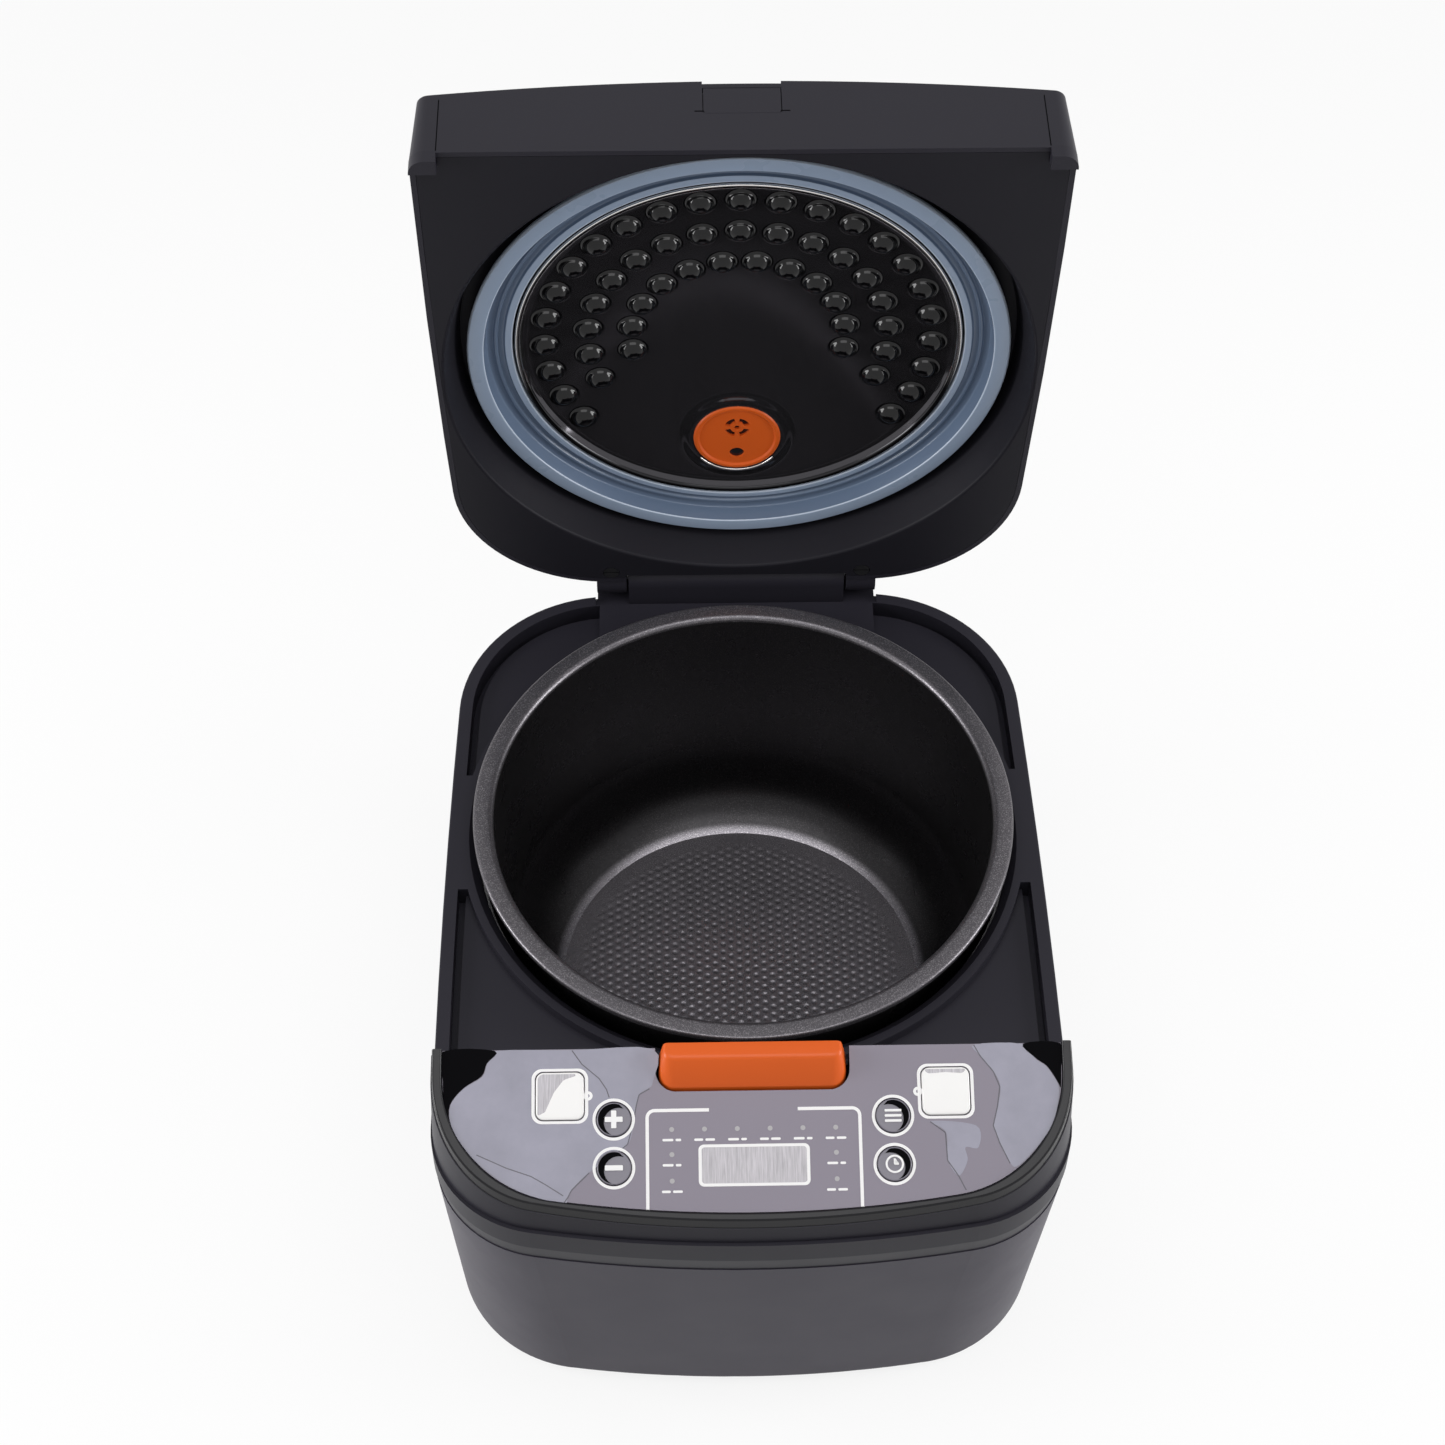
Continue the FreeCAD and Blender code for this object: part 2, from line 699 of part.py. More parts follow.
def base_plate():
    plate = prism(body_plan(FOOT_H, BASE_INSET), BASE_T)
    posts = [post(LINER_POST_R, HOUSING_Z, LINER_Z, *p) for p in liner_post_places()]
    posts += [post(POWER_POST_R, HOUSING_Z, POWER_BOARD_Z, *p) for p in power_post_places()]
    plate = fused([plate] + posts)
    slots = []
    for k in range(VENT_COUNT):
        x = (k - (VENT_COUNT - 1) / 2) * VENT_PITCH
        half = VENT_L / 2
        slots.append(box(x - VENT_W / 2, x + VENT_W / 2, -half, half, FOOT_H - 1, HOUSING_Z + 1))
    holes = [post(SCREW_R + LATCH_RUN, FOOT_H - 1, HOUSING_Z + 1, *p) for p in base_screw_places()]
    heads = [
        post(SCREW_HEAD_R + FIT, FOOT_H - 1, FOOT_H + SCREW_HEAD_T, *p) for p in base_screw_places()
    ]
    pilots = [post(SCREW_R - FIT, LINER_Z - SCREW_L, LINER_Z + 1, *p) for p in liner_post_places()]
    return cut(plate, slots + holes + heads + pilots)


def rubber_feet():
    return [post(REST_R, 0, FOOT_H, *p) for p in rest_places()]


def screw(x, y, z, length, up):
    """A pan-head screw whose head's seat is at z; its shank points up or down."""
    way = 1 if up else -1
    head = post(SCREW_HEAD_R, min(z, z - way * SCREW_HEAD_T), max(z, z - way * SCREW_HEAD_T), x, y)
    slot = box(
        x - SCREW_HEAD_R, x + SCREW_HEAD_R, y - 0.5, y + 0.5,
        min(z - way * SCREW_HEAD_T, z - way * SCREW_HEAD_T / 2),
        max(z - way * SCREW_HEAD_T, z - way * SCREW_HEAD_T / 2),
    )
    shank = post(SCREW_R - FIT, min(z, z + way * length), max(z, z + way * length), x, y)
    return head.cut(slot).fuse(shank).removeSplitter()


def base_screws():
    return [screw(x, y, FOOT_H + SCREW_HEAD_T, BASE_T - SCREW_HEAD_T, True) for x, y in base_screw_places()]


def power_inlet():
    half_x, half_z = INLET_HALF

    def block(grow, y0, y1):
        return box(
            INLET_X - half_x - grow, INLET_X + half_x + grow, y0, y1,
            INLET_Z - half_z - grow, INLET_Z + half_z + grow,
        )

    flange = block(INLET_FLANGE_W, REAR_Y, REAR_Y + INLET_FLANGE_T)
    body = block(0, REAR_Y - INLET_DEPTH, REAR_Y + INLET_FLANGE_T)
    socket = block(-INLET_WALL, REAR_Y - INLET_DEPTH + INLET_FLOOR_T, REAR_Y + INLET_FLANGE_T + 1)
    return flange.fuse(body).cut(socket).removeSplitter()


def inlet_pins():
    wide, long, tall = PIN_SIZE
    start = REAR_Y - INLET_DEPTH + INLET_FLOOR_T
    pins = []
    for dx, dz in ((-PIN_PITCH, -PIN_RISE), (PIN_PITCH, -PIN_RISE), (0, PIN_RISE)):
        x, z = INLET_X + dx, INLET_Z + dz
        pins.append(box(x - wide / 2, x + wide / 2, start, start + long, z - tall / 2, z + tall / 2))
    return pins


# Upper frame: deck, collar, console tray and hinge tower
def pocket_zone(inset, z0):
    """The sunk parts of the deck, from a height up."""
    zone = prism(console_plan(0, inset), FAR)
    zone.translate(V(0, 0, z0 - SEAM_Z))
    half = ARM_OUT_X - HINGE_NOTCH
    keep = [
        post(COLLAR_OUT_R, 0, FAR),
        box(-FAR, FAR, -POCKET_END_Y, POCKET_END_Y, 0, FAR),
        box(-FAR, FAR, -FAR, CONSOLE_REAR_Y, 0, FAR),
        box(-half, half, 0, FAR, 0, FAR),
    ]
    return zone.cut(keep)


def deck():
    slab = prism(console_plan(0), RIM_Z - SEAM_Z)
    groove = pocket_zone(RIM_W, POCKET_Z - GROOVE_DEPTH).cut(prism(console_plan(0, RIM_W + GROOVE_W), FAR))
    under = prism(console_plan(0, RIM_W + GROOVE_W + WALL), POCKET_Z - DECK_T - SEAM_Z)
    under = under.cut(post(COLLAR_IN_R + COLLAR_T, 0, FAR))
    skirt = post(COLLAR_IN_R + COLLAR_T, SEAM_Z - COLLAR_SKIRT, RIM_Z)
    well = post(COLLAR_IN_R, 0, FAR)
    lead = Part.makeCone(
        COLLAR_IN_R, COLLAR_IN_R + 2 * COLLAR_CHAMFER, 2 * COLLAR_CHAMFER, V(0, 0, RIM_Z - COLLAR_CHAMFER)
    )
    slab = slab.cut([pocket_zone(RIM_W, POCKET_Z), groove, under])
    return slab.fuse(skirt).cut([well, lead])


def lug_notch():
    """The dip at the front end of each side rim that takes the lid's corner lug."""
    notch = box(
        LUG_X - LUG_GAP, FAR, CONSOLE_REAR_Y, LID_FRONT_Y + LUG_L + LUG_GAP, LID_Z - LUG_H - LUG_GAP, FAR
    )
    return both_sides(notch)


def console_block(inset):
    return loft(console_plan(0, inset), console_plan(CONSOLE_LOFT_H, inset))


def console_shell():
    front = box(-FAR, FAR, -FAR, CONSOLE_REAR_Y, 0, FAR)
    block = console_block(0).common(front).cut(above_panel(-BEZEL_SEAT))
    pad = placed(prism(panel_plan(FIT, -BEZEL_SEAT - 1), BEZEL_SEAT + 1 - OVERLAY_T), CONSOLE)
    block = block.fuse(pad.common(front))
    inside = loft(console_plan(0, WALL), console_plan(CONSOLE_LOFT_H, WALL))
    drop = prism(console_plan(0, WALL), -WALL)
    inside = inside.fuse(drop).common(box(-FAR, FAR, -FAR, CONSOLE_REAR_Y - WALL, 0, FAR))
    inside = inside.cut(above_panel(-BEZEL_SEAT - TRAY_T))
    deep = panel_plan(TRAY_RIB_W, -BEZEL_SEAT - TRAY_T - 1, -TRAY_RIB_W)
    deep = placed(prism(deep, BEZEL_SEAT + 1 - OVERLAY_T), CONSOLE)
    return block, [inside, deep]


def panel_cuts():
    """Holes in the tray under the overlay: keys, lamps and display."""
    top = 5.0
    cuts = []
    for kind, x, v in KEYS.values():
        cuts.append(key_prism(kind, x, v, KEY_GAP, KEY_SEAT - 1, top))
    cuts += [post(LED_HOLE_R, KEY_SEAT - 1, top, *on_panel(x, v)) for x, v in LEDS]
    half = WINDOW_HALF_W - WINDOW_LEDGE
    cuts.append(
        box(-half, half, -WINDOW_END_V + WINDOW_LEDGE, -WINDOW_V - WINDOW_LEDGE, KEY_SEAT - 1, top)
    )
    return [placed(c, CONSOLE) for c in cuts]


def latch_pocket():
    return prism(latch_plan(LATCH_GAP, LATCH_FOOT_Z - 1, 1.0), FAR)


def latch_seat():
    """The ears that hold the latch's pin and the shelf under its spring."""
    wall_y = CONSOLE_REAR_Y - WALL
    pivot_y = LATCH_PIVOT_Y
    front = pivot_y - LATCH_ARM_R
    ear = box(
        LATCH_EAR_X[0], LATCH_EAR_X[1], front, wall_y,
        LATCH_PIVOT_Z - LATCH_ARM_R, LATCH_PIVOT_Z + LATCH_ARM_R,
    )
    ear = ear.cut(bar(LATCH_PIN_R, 0, FAR, pivot_y, LATCH_PIVOT_Z))
    shelf_z = LATCH_PIVOT_Z - SHELF_DROP
    shelf = box(-SHELF_HALF_W, SHELF_HALF_W, LATCH_FRONT_Y + LATCH_SHELL, wall_y, shelf_z - SHELF_T, shelf_z)
    return both_sides(ear) + [shelf]


def board_post_places():
    ends = (BOARD_POST_V, BOARD_POST_V + BOARD_POST_PITCH)
    return [(side * BOARD_POST_X, v) for side in (-1, 1) for v in ends]


def board_posts():
    top = -OVERLAY_T - TRAY_T
    return [
        placed(post(BOARD_POST_R, BOARD_TOP, top, *on_panel(x, v)), CONSOLE)
        for x, v in board_post_places()
    ]


def hinge_tower():
    """The rear bump-out with the two knuckles that hold the lid's pin."""
    half = ARM_OUT_X
    foot = box(-half, half, REAR_Y - WALL, TOWER_REAR_Y, SEAM_Z, TOWER_TOP_Z)
    cover = box(-half, half, TOWER_REAR_Y - TOWER_WALL, TOWER_REAR_Y, SEAM_Z, HINGE_Z + TOWER_COVER_RISE)
    barrel = bar(HINGE_R, -TOWER_HALF_W, TOWER_HALF_W, HINGE_Y, HINGE_Z)
    web = box(
        -TOWER_HALF_W, TOWER_HALF_W, HINGE_Y - HINGE_R, HINGE_Y + HINGE_R, SEAM_Z + WALL, HINGE_Z
    )
    chamber = bar(CHAMBER_R, -TOWER_OPEN_X, TOWER_OPEN_X, HINGE_Y, HINGE_Z)
    mouth = box(
        -TOWER_OPEN_X, TOWER_OPEN_X, HINGE_Y, HINGE_Y + HINGE_R + 1, HINGE_Z - CHAMBER_R, HINGE_Z + CHAMBER_R
    )
    bore = bar(HINGE_PIN_R + HINGE_RUN, -FAR, FAR, HINGE_Y, HINGE_Z)
    tower = fused([foot, cover, barrel, web])
    return tower.cut([chamber, mouth, bore])


def hinge_gap():
    """Room over the rear rim for the lid's arms."""
    half = ARM_OUT_X + HINGE_NOTCH
    gap = box(-half, half, HINGE_Y - HINGE_R - 2 * HINGE_NOTCH, REAR_Y + 1, TOWER_TOP_Z, FAR)
    return gap.cut(post(COLLAR_OUT_R, 0, FAR))


def top_frame():
    block, hollows = console_shell()
    base = deck().cut([hinge_gap()] + lug_notch())
    console = block.cut(hollows)
    front_open = hollows[0]
    base = base.cut(front_open)
    frame = base.fuse([console, hinge_tower()] + board_posts())
    frame = frame.cut(panel_cuts() + [latch_pocket()])
    frame = frame.fuse(latch_seat())
    pilots = [
        placed(post(SCREW_R - FIT, BOARD_TOP - 1, BOARD_TOP + SCREW_L - 2, *on_panel(x, v)), CONSOLE)
        for x, v in board_post_places()
    ]
    frame = frame.cut(pilots).removeSplitter()
    return frame.makeFillet(RIM_ROUND, [e for e in frame.Edges if on_side_rim(e)])


def on_side_rim(edge):
    """True for the long edges on top of the side rims."""
    spot = mid_point(edge)
    level = abs(spot.z - RIM_Z) < 0.01 and edge.BoundBox.ZLength < 0.01
    return level and abs(spot.x) > SEAM_HALF_W - RIM_W + RIM_ROUND and edge.Length > 3 * RIM_W


# Control panel
def console_bezel():
    front = box(-FAR, FAR, -FAR, CONSOLE_REAR_Y, 0, FAR)
    ring = console_block(BEZEL_INSET).common(front)
    ring = ring.cut([above_panel(LIP_H)])
    below = placed(box(-FAR, FAR, -FAR, FAR, -FAR, -BEZEL_SEAT), CONSOLE)
    inner = placed(prism(panel_plan(0, -FAR / 2, FAR), FAR), CONSOLE)
    ring = ring.cut([below, inner])
    edges = [e for e in ring.Edges if on_lip(e)]
    return ring.makeFillet(LIP_H * 0.8, edges)


def on_lip(edge):
    """True for the lip's long top edges."""
    inverse = CONSOLE.inverse()
    spots = [inverse.multVec(v.Point) for v in edge.Vertexes]
    spots.append(inverse.multVec(mid_point(edge)))
    at_top = all(abs(p.z - LIP_H) < 0.01 for p in spots)
    return at_top and edge.Length > 2 * SQUARE_KEY_R * math.pi


def panel_overlay():
    sheet = prism(panel_plan(FIT, -OVERLAY_T, -FIT), OVERLAY_T)
    holes = []
    for kind, x, v in KEYS.values():
        holes.append(key_prism(kind, x, v, KEY_GAP, -2, 2))
    half = WINDOW_HALF_W + FIT / 2
    holes.append(box(-half, half, -WINDOW_END_V - FIT / 2, -WINDOW_V + FIT / 2, -2, 2))
    sheet = placed(sheet.cut(holes), CONSOLE)
    return sheet.cut(latch_pocket())


def display_window():
    pane = box(-WINDOW_HALF_W, WINDOW_HALF_W, -WINDOW_END_V, -WINDOW_V, -OVERLAY_T, 0)
    return placed(pane, CONSOLE)


def control_board():
    board = box(-BOARD_HALF_W, BOARD_HALF_W, -BOARD_END_V, -BOARD_REAR_V, BOARD_TOP - BOARD_T, BOARD_TOP)
    holes = [
        post(SCREW_R, BOARD_TOP - 2 * BOARD_T, BOARD_TOP + 1, *on_panel(x, v))
        for x, v in board_post_places()
    ]
    return placed(board.cut(holes), CONSOLE)


def board_screws():
    seat = BOARD_TOP - BOARD_T
    return [
        placed(screw(x, -v, seat, BOARD_T + SCREW_L / 2, True), CONSOLE) for x, v in board_post_places()
    ]


def display_module():
    half = WINDOW_HALF_W + 2 * WINDOW_LEDGE
    block = box(
        -half, half, -WINDOW_END_V - WINDOW_LEDGE, -WINDOW_V + WINDOW_LEDGE, BOARD_TOP, BOARD_TOP + LCD_H
    )
    return placed(block, CONSOLE)


def indicator_leds():
    lamps = []
    for x, v in LEDS:
        stem = post(LED_R, BOARD_TOP, KEY_SEAT - 2 * FIT, *on_panel(x, v))
        lamps.append(placed(stem, CONSOLE))
    return lamps


def tact_switches():
    switches = []
    for _, x, v in KEYS.values():
        cx, cy = on_panel(x, v)
        half = SWITCH_W / 2
        case = box(cx - half, cx + half, cy - half, cy + half, BOARD_TOP, BOARD_TOP + SWITCH_H)
        plunger = post(KEY_STEM_R - FIT, BOARD_TOP + SWITCH_H, PLUNGER_TOP, cx, cy)
        switches.append(placed(case.fuse(plunger).removeSplitter(), CONSOLE))
    return switches


def key(kind, x, v):
    cap = key_prism(kind, x, v, 0, KEY_SEAT - KEY_FLANGE_T, KEY_PROUD)
    top = [e for e in cap.Edges if e.BoundBox.ZMin > KEY_PROUD - 0.01]
    cap = cap.makeFillet(KEY_ROUND, top)
    flange = key_prism(kind, x, v, KEY_GAP + KEY_FLANGE_W, KEY_SEAT - KEY_FLANGE_T, KEY_SEAT)
    stem = post(KEY_STEM_R, KEY_FOOT, KEY_SEAT - KEY_FLANGE_T, *on_panel(x, v))
    return placed(cap.fuse([flange, stem]).removeSplitter(), CONSOLE)


# Latch
def latch_slope_z(y):
    """Height of the panel's surface under the latch's front edge."""
    return CONSOLE_REAR_Z - (CONSOLE_REAR_Y - y) * math.tan(math.radians(CONSOLE_TILT))


def latch_button():
    foot = LATCH_FOOT_Z
    profile = [
        (LATCH_REAR_Y, foot),
        (LATCH_REAR_Y, LATCH_TOP_Z),
        (LATCH_REAR_Y - LATCH_TOP_W, LATCH_TOP_Z),
        (LATCH_FRONT_Y, latch_slope_z(LATCH_FRONT_Y) + FIT),
        (LATCH_FRONT_Y, foot),
    ]
    wire = Part.makePolygon([V(-FAR, y, z) for y, z in profile + profile[:1]])
    body = prism(wire, 2 * FAR, X_AXIS).common(prism(latch_plan(0, 0), FAR))
    crest = [e for e in body.Edges if e.BoundBox.ZMin > LATCH_TOP_Z - 0.01]
    body = body.makeFillet(LATCH_ROUND, crest)
    side = LATCH_HALF_W - LATCH_SHELL
    hollow = box(
        -side, side, LATCH_FRONT_Y + LATCH_SHELL, LATCH_REAR_Y - LATCH_SHELL,
        foot - 1, latch_slope_z(LATCH_FRONT_Y),
    )
    nose = box(-NOSE_HALF_W, NOSE_HALF_W, LATCH_REAR_Y - 1, LATCH_REAR_Y + NOSE_L, NOSE_Z, NOSE_Z + NOSE_H)
    arm = box(
        LATCH_ARM_X[0], LATCH_ARM_X[1], LATCH_PIVOT_Y - LATCH_ARM_R, LATCH_PIVOT_Y + LATCH_ARM_R,
        LATCH_PIVOT_Z, latch_slope_z(LATCH_FRONT_Y),
    )
    boss = bar(LATCH_ARM_R, LATCH_ARM_X[0], LATCH_ARM_X[1], LATCH_PIVOT_Y, LATCH_PIVOT_Z)
    arms = both_sides(arm.fuse(boss))
    body = body.cut(hollow).fuse([nose] + arms)
    hole = bar(LATCH_PIN_R + LATCH_RUN, -FAR, FAR, LATCH_PIVOT_Y, LATCH_PIVOT_Z)
    return body.cut(hole).removeSplitter()


def latch_pin():
    return bar(LATCH_PIN_R, -LATCH_EAR_X[1], LATCH_EAR_X[1], LATCH_PIVOT_Y, LATCH_PIVOT_Z)


def latch_spring():
    seat = LATCH_PIVOT_Z - SHELF_DROP
    top = latch_slope_z(LATCH_FRONT_Y)
    spring = coil(LATCH_SPRING_R, LATCH_WIRE_R, LATCH_SPRING_TURNS, top - seat)
    middle = (LATCH_FRONT_Y + LATCH_SHELL + LATCH_PIVOT_Y - LATCH_PIN_R) / 2
    spring.translate(V(0, middle, seat))
    return spring


# Pot, heater and sensor
def inner_pot():
    top, floor, base = POT_RIM_Z, POT_FLOOR_Z, POT_BASE_Z
    out_r = POT_IN_R + POT_T
    under = top - POT_FLANGE_T
    k = 1 - math.sqrt(0.5)
    f_in, f_out = POT_FILLET, POT_FILLET + POT_T

    def p(r, z):
        return V(r, 0, z)

    inside = Part.Arc(
        p(POT_IN_R, floor + f_in), p(POT_IN_R - f_in * k, floor + f_in * k), p(POT_IN_R - f_in, floor)
    ).toShape()
    lip = Part.Arc(
        p(POT_IN_R + POT_LIP_R, top),
        p(POT_IN_R + POT_LIP_R * k, top - POT_LIP_R * k),
        p(POT_IN_R, top - POT_LIP_R),
    ).toShape()
    bead_r = POT_FLANGE_T / 2
    bead = Part.Arc(
        p(POT_FLANGE_R - bead_r, under), p(POT_FLANGE_R, top - bead_r), p(POT_FLANGE_R - bead_r, top)
    ).toShape()
    outside = Part.Arc(
        p(out_r - f_out, base), p(out_r - f_out * k, base + f_out * k), p(out_r, base + f_out)
    ).toShape()
    edges = [
        Part.makeLine(p(0, base), p(out_r - f_out, base)),
        outside,
        Part.makeLine(p(out_r, base + f_out), p(out_r, under)),
        Part.makeLine(p(out_r, under), p(POT_FLANGE_R - bead_r, under)),
        bead,
        Part.makeLine(p(POT_FLANGE_R - bead_r, top), p(POT_IN_R + POT_LIP_R, top)),
        lip,
        Part.makeLine(p(POT_IN_R, top - POT_LIP_R), p(POT_IN_R, floor + f_in)),
        inside,
        Part.makeLine(p(POT_IN_R - f_in, floor), p(0, floor)),
        Part.makeLine(p(0, floor), p(0, base)),
    ]
    return Part.Face(Part.Wire(edges)).revolve(V(0, 0, 0), Z_AXIS, 360)


def heating_plate():
    disc = post(PLATE_R, PLATE_Z, PLATE_TOP_Z)
    rim = [e for e in disc.Edges if e.BoundBox.ZMin > PLATE_TOP_Z - 0.01]
    disc = disc.makeFillet(PLATE_T / 4, rim)
    legs = []
    for k in range(3):
        a = math.radians(30 + 120 * k)
        spot = (PLATE_LEG_PCR * math.cos(a), PLATE_LEG_PCR * math.sin(a))
        legs.append(post(PLATE_LEG_R, LINER_FLOOR_Z, PLATE_Z + 1, *spot))
    groove = Part.makeTorus(TUBE_PCR, TUBE_R + TUBE_GAP, V(0, 0, PLATE_Z))
    disc = disc.fuse(legs).cut([groove, post(PLATE_HOLE_R, 0, FAR)])
    return disc.removeSplitter()


def heater_tube():
    ring = Part.Face(Part.Wire(Part.makeCircle(TUBE_R, V(TUBE_PCR, 0, PLATE_Z), Y_AXIS)))
    tube = ring.revolve(V(0, 0, 0), Z_AXIS, TUBE_SPAN)
    tube.rotate(V(0, 0, 0), Z_AXIS, 90 - TUBE_SPAN / 2)
    pins = []
    for turn in (-TUBE_SPAN / 2 + TUBE_R, TUBE_SPAN / 2 - TUBE_R):
        a = math.radians(90 + turn)
        spot = (TUBE_PCR * math.cos(a), TUBE_PCR * math.sin(a))
        pins.append(post(TUBE_PIN_R, PLATE_Z - TUBE_R - TUBE_PIN_L, PLATE_Z, *spot))
    return tube.fuse(pins).removeSplitter()


def inner_liner():
    bucket = post(LINER_R + LINER_T, LINER_Z, LINER_TOP_Z).cut(post(LINER_R, LINER_FLOOR_Z, FAR))
    holes = [post(LINER_HOLE_R, 0, FAR)]
    holes += [post(SCREW_R, 0, LINER_FLOOR_Z + 1, *p) for p in liner_post_places()]
    return bucket.cut(holes)


def liner_screws():
    return [screw(x, y, LINER_FLOOR_Z, SCREW_L - LINER_T - 1, False) for x, y in liner_post_places()]


def side_heater_band():
    radius = LINER_R + LINER_T + BAND_GAP
    return post(radius + BAND_T, BAND_TOP_Z - BAND_H, BAND_TOP_Z).cut(post(radius, 0, FAR))


def sensor_base():
    seat = LINER_FLOOR_Z
    dish = post(SENSOR_BASE_R, seat, seat + SENSOR_BASE_T)
    guide = post(SENSOR_POST_R, seat, seat + SENSOR_BASE_T + SENSOR_POST_L)
    return dish.fuse(guide).removeSplitter()


def sensor_cap():
    top = POT_BASE_Z - SENSOR_GAP
    cup = post(SENSOR_R, top - SENSOR_SKIRT, top)
    rim = [e for e in cup.Edges if e.BoundBox.ZMin > top - 0.01]
    cup = cup.makeFillet(SENSOR_T, rim)
    return cup.cut(post(SENSOR_R - SENSOR_T, 0, top - SENSOR_T))


def sensor_spring():
    low = LINER_FLOOR_Z + SENSOR_BASE_T
    high = POT_BASE_Z - SENSOR_GAP - SENSOR_T
    spring = coil(SENSOR_SPRING_R, SENSOR_WIRE_R, SENSOR_TURNS, high - low)
    spring.translate(V(0, 0, low))
    return spring


def thermal_fuse():
    """A fuse in its clip, screwed up under the heating plate."""
    z = PLATE_Z - FUSE_R
    body = bar(FUSE_R, -FUSE_L / 2, FUSE_L / 2, FUSE_Y, z)
    clip = box(-FUSE_R, FUSE_R, FUSE_Y - 2 * FUSE_R, FUSE_Y + 2 * FUSE_R, z, PLATE_Z)
    return body.fuse(clip).removeSplitter()


def power_board():
    board = box(
        -POWER_BOARD_HALF_W, POWER_BOARD_HALF_W, POWER_FRONT_Y, POWER_REAR_Y,
        POWER_BOARD_Z, POWER_BOARD_Z + BOARD_T,
    )
    return board


def power_components():
    top = POWER_BOARD_Z + BOARD_T
    middle = (POWER_FRONT_Y + POWER_REAR_Y) / 2
    parts = []
    for x, dy, wide, deep, tall in ((-34, 0, 30, 26, 22), (2, 8, 20, 16, 16), (40, -10, 16, 10, 12)):
        y = middle + dy
        parts.append(box(x - wide / 2, x + wide / 2, y - deep / 2, y + deep / 2, top, top + tall))
    parts.append(post(5.0, top, top + 18.0, 20.0, middle - 10.0))
    parts.append(post(4.0, top, top + 12.0, 30.0, middle + 10.0))
    return parts


# Lid
def lid_block(inset):
    low = lid_plan(LID_Z, inset + LID_INSET)
    high = lid_plan(LID_Z + LID_LOFT_H, inset + LID_INSET + LID_DRAFT)
    return loft(low, high)


def dome(thickness):
    return Part.makeSphere(LID_DOME_R - thickness, V(0, 0, DOME_Z))


def catch_window(grow, z0, z1):
    half = CATCH_HALF_W + grow
    return box(-half, half, -FAR, LID_FRONT_Y / 2, z0, z1)


def lid_arm():
    """A hinge arm at one side of the tower, bored for the pin."""
    web = box(
        ARM_IN_X, ARM_OUT_X, HINGE_Y - HINGE_WEB_Y, HINGE_Y, LID_Z + LINING_T, HINGE_Z + HINGE_R
    )
    return bar(HINGE_R, ARM_IN_X, ARM_OUT_X, HINGE_Y, HINGE_Z).fuse(web)


def tower_notch():
    """Room in the lid's rear for the tower between the arms."""
    return box(
        -ARM_IN_X, ARM_IN_X, HINGE_Y - HINGE_R - HINGE_NOTCH, FAR, 0, HINGE_Z + HINGE_R + 2 * HINGE_NOTCH
    )


def lugs():
    flank = prism(lid_plan(LID_Z - LUG_H, LID_INSET), LUG_H + LUG_ROOT)
    block = box(LUG_X, FAR, -FAR, LID_FRONT_Y + LUG_L, 0, FAR)
    return both_sides(flank.common(block))


def rounded_top(block, depth, radius):
    """A block under the dome, with the edge round its top rounded."""
    middle = V(0, 0, DOME_Z)
    rim = [e for e in block.Edges if abs((mid_point(e) - middle).Length - LID_DOME_R + depth) < 0.01]
    return block.makeFillet(radius, rim)


def vent_hole(radius):
    return placed(post(radius, -FAR, FAR), VENT)


def lid_shell():
    outer = rounded_top(lid_block(0).common(dome(COVER_T)), COVER_T, LID_ROUND)
    inner = lid_block(LID_WALL).common(dome(COVER_T + LID_WALL))
    low = prism(lid_plan(LID_Z - 1, LID_WALL + LID_INSET), 1.5)
    shell = outer.cut([inner, low])
    shell = shell.fuse(lugs() + both_sides(lid_arm()))
    cuts = [
        tower_notch(),
        catch_window(CATCH_GAP, CATCH_TOP_Z - CATCH_H - CATCH_GAP, SLOT_TOP_Z),
        vent_hole(DUCT_R + FIT),
        bar(HINGE_PIN_R, -FAR, FAR, HINGE_Y, HINGE_Z),
    ]
    seat_z = LID_Z + LINING_T
    cuts += [post(SCREW_R - FIT, seat_z - 1, seat_z + LID_SCREW_L, x, y) for x, y in lid_screw_places()]
    return shell.cut(cuts).removeSplitter()


def lid_top_cover():
    block = rounded_top(lid_block(COVER_INSET).common(dome(0)), 0, COVER_ROUND)
    return block.cut([dome(COVER_T - COVER_SEAT), vent_hole(CAP_R + CAP_GAP)])


def lid_catch():
    """The plate below the latch slot, with a back plate that laps behind the lid's front wall."""
    low = CATCH_TOP_Z - CATCH_H
    window = catch_window(0, low, CATCH_TOP_Z)
    face = lid_block(0).cut(lid_block(LID_WALL)).common(window)
    lap = catch_window(CATCH_LAP, low - CATCH_LAP, CATCH_TOP_Z)
    back = lid_block(LID_WALL + LINING_GAP / 2).cut(lid_block(LID_WALL + CATCH_BACK_T)).common(lap)
    bridge = lid_block(LID_WALL).cut(lid_block(LID_WALL + LINING_GAP)).common(window)
    return face.fuse([bridge, back]).removeSplitter()


def lining_profile(grow):
    """The round hollow in the lid's lining, as (radius, height) corners."""
    top = SEAL_SEAT_Z + grow
    crown = LINING_TOP_Z + grow
    step_r = SEAL_IN_R + grow
    return [
        (0, LID_Z - 1),
        (RECESS_R + grow, LID_Z - 1),
        (RECESS_R + grow, LID_Z),
        (RECESS_TOP_R + grow, top),
        (step_r, top),
        (step_r, crown),
        (0, crown),
    ]


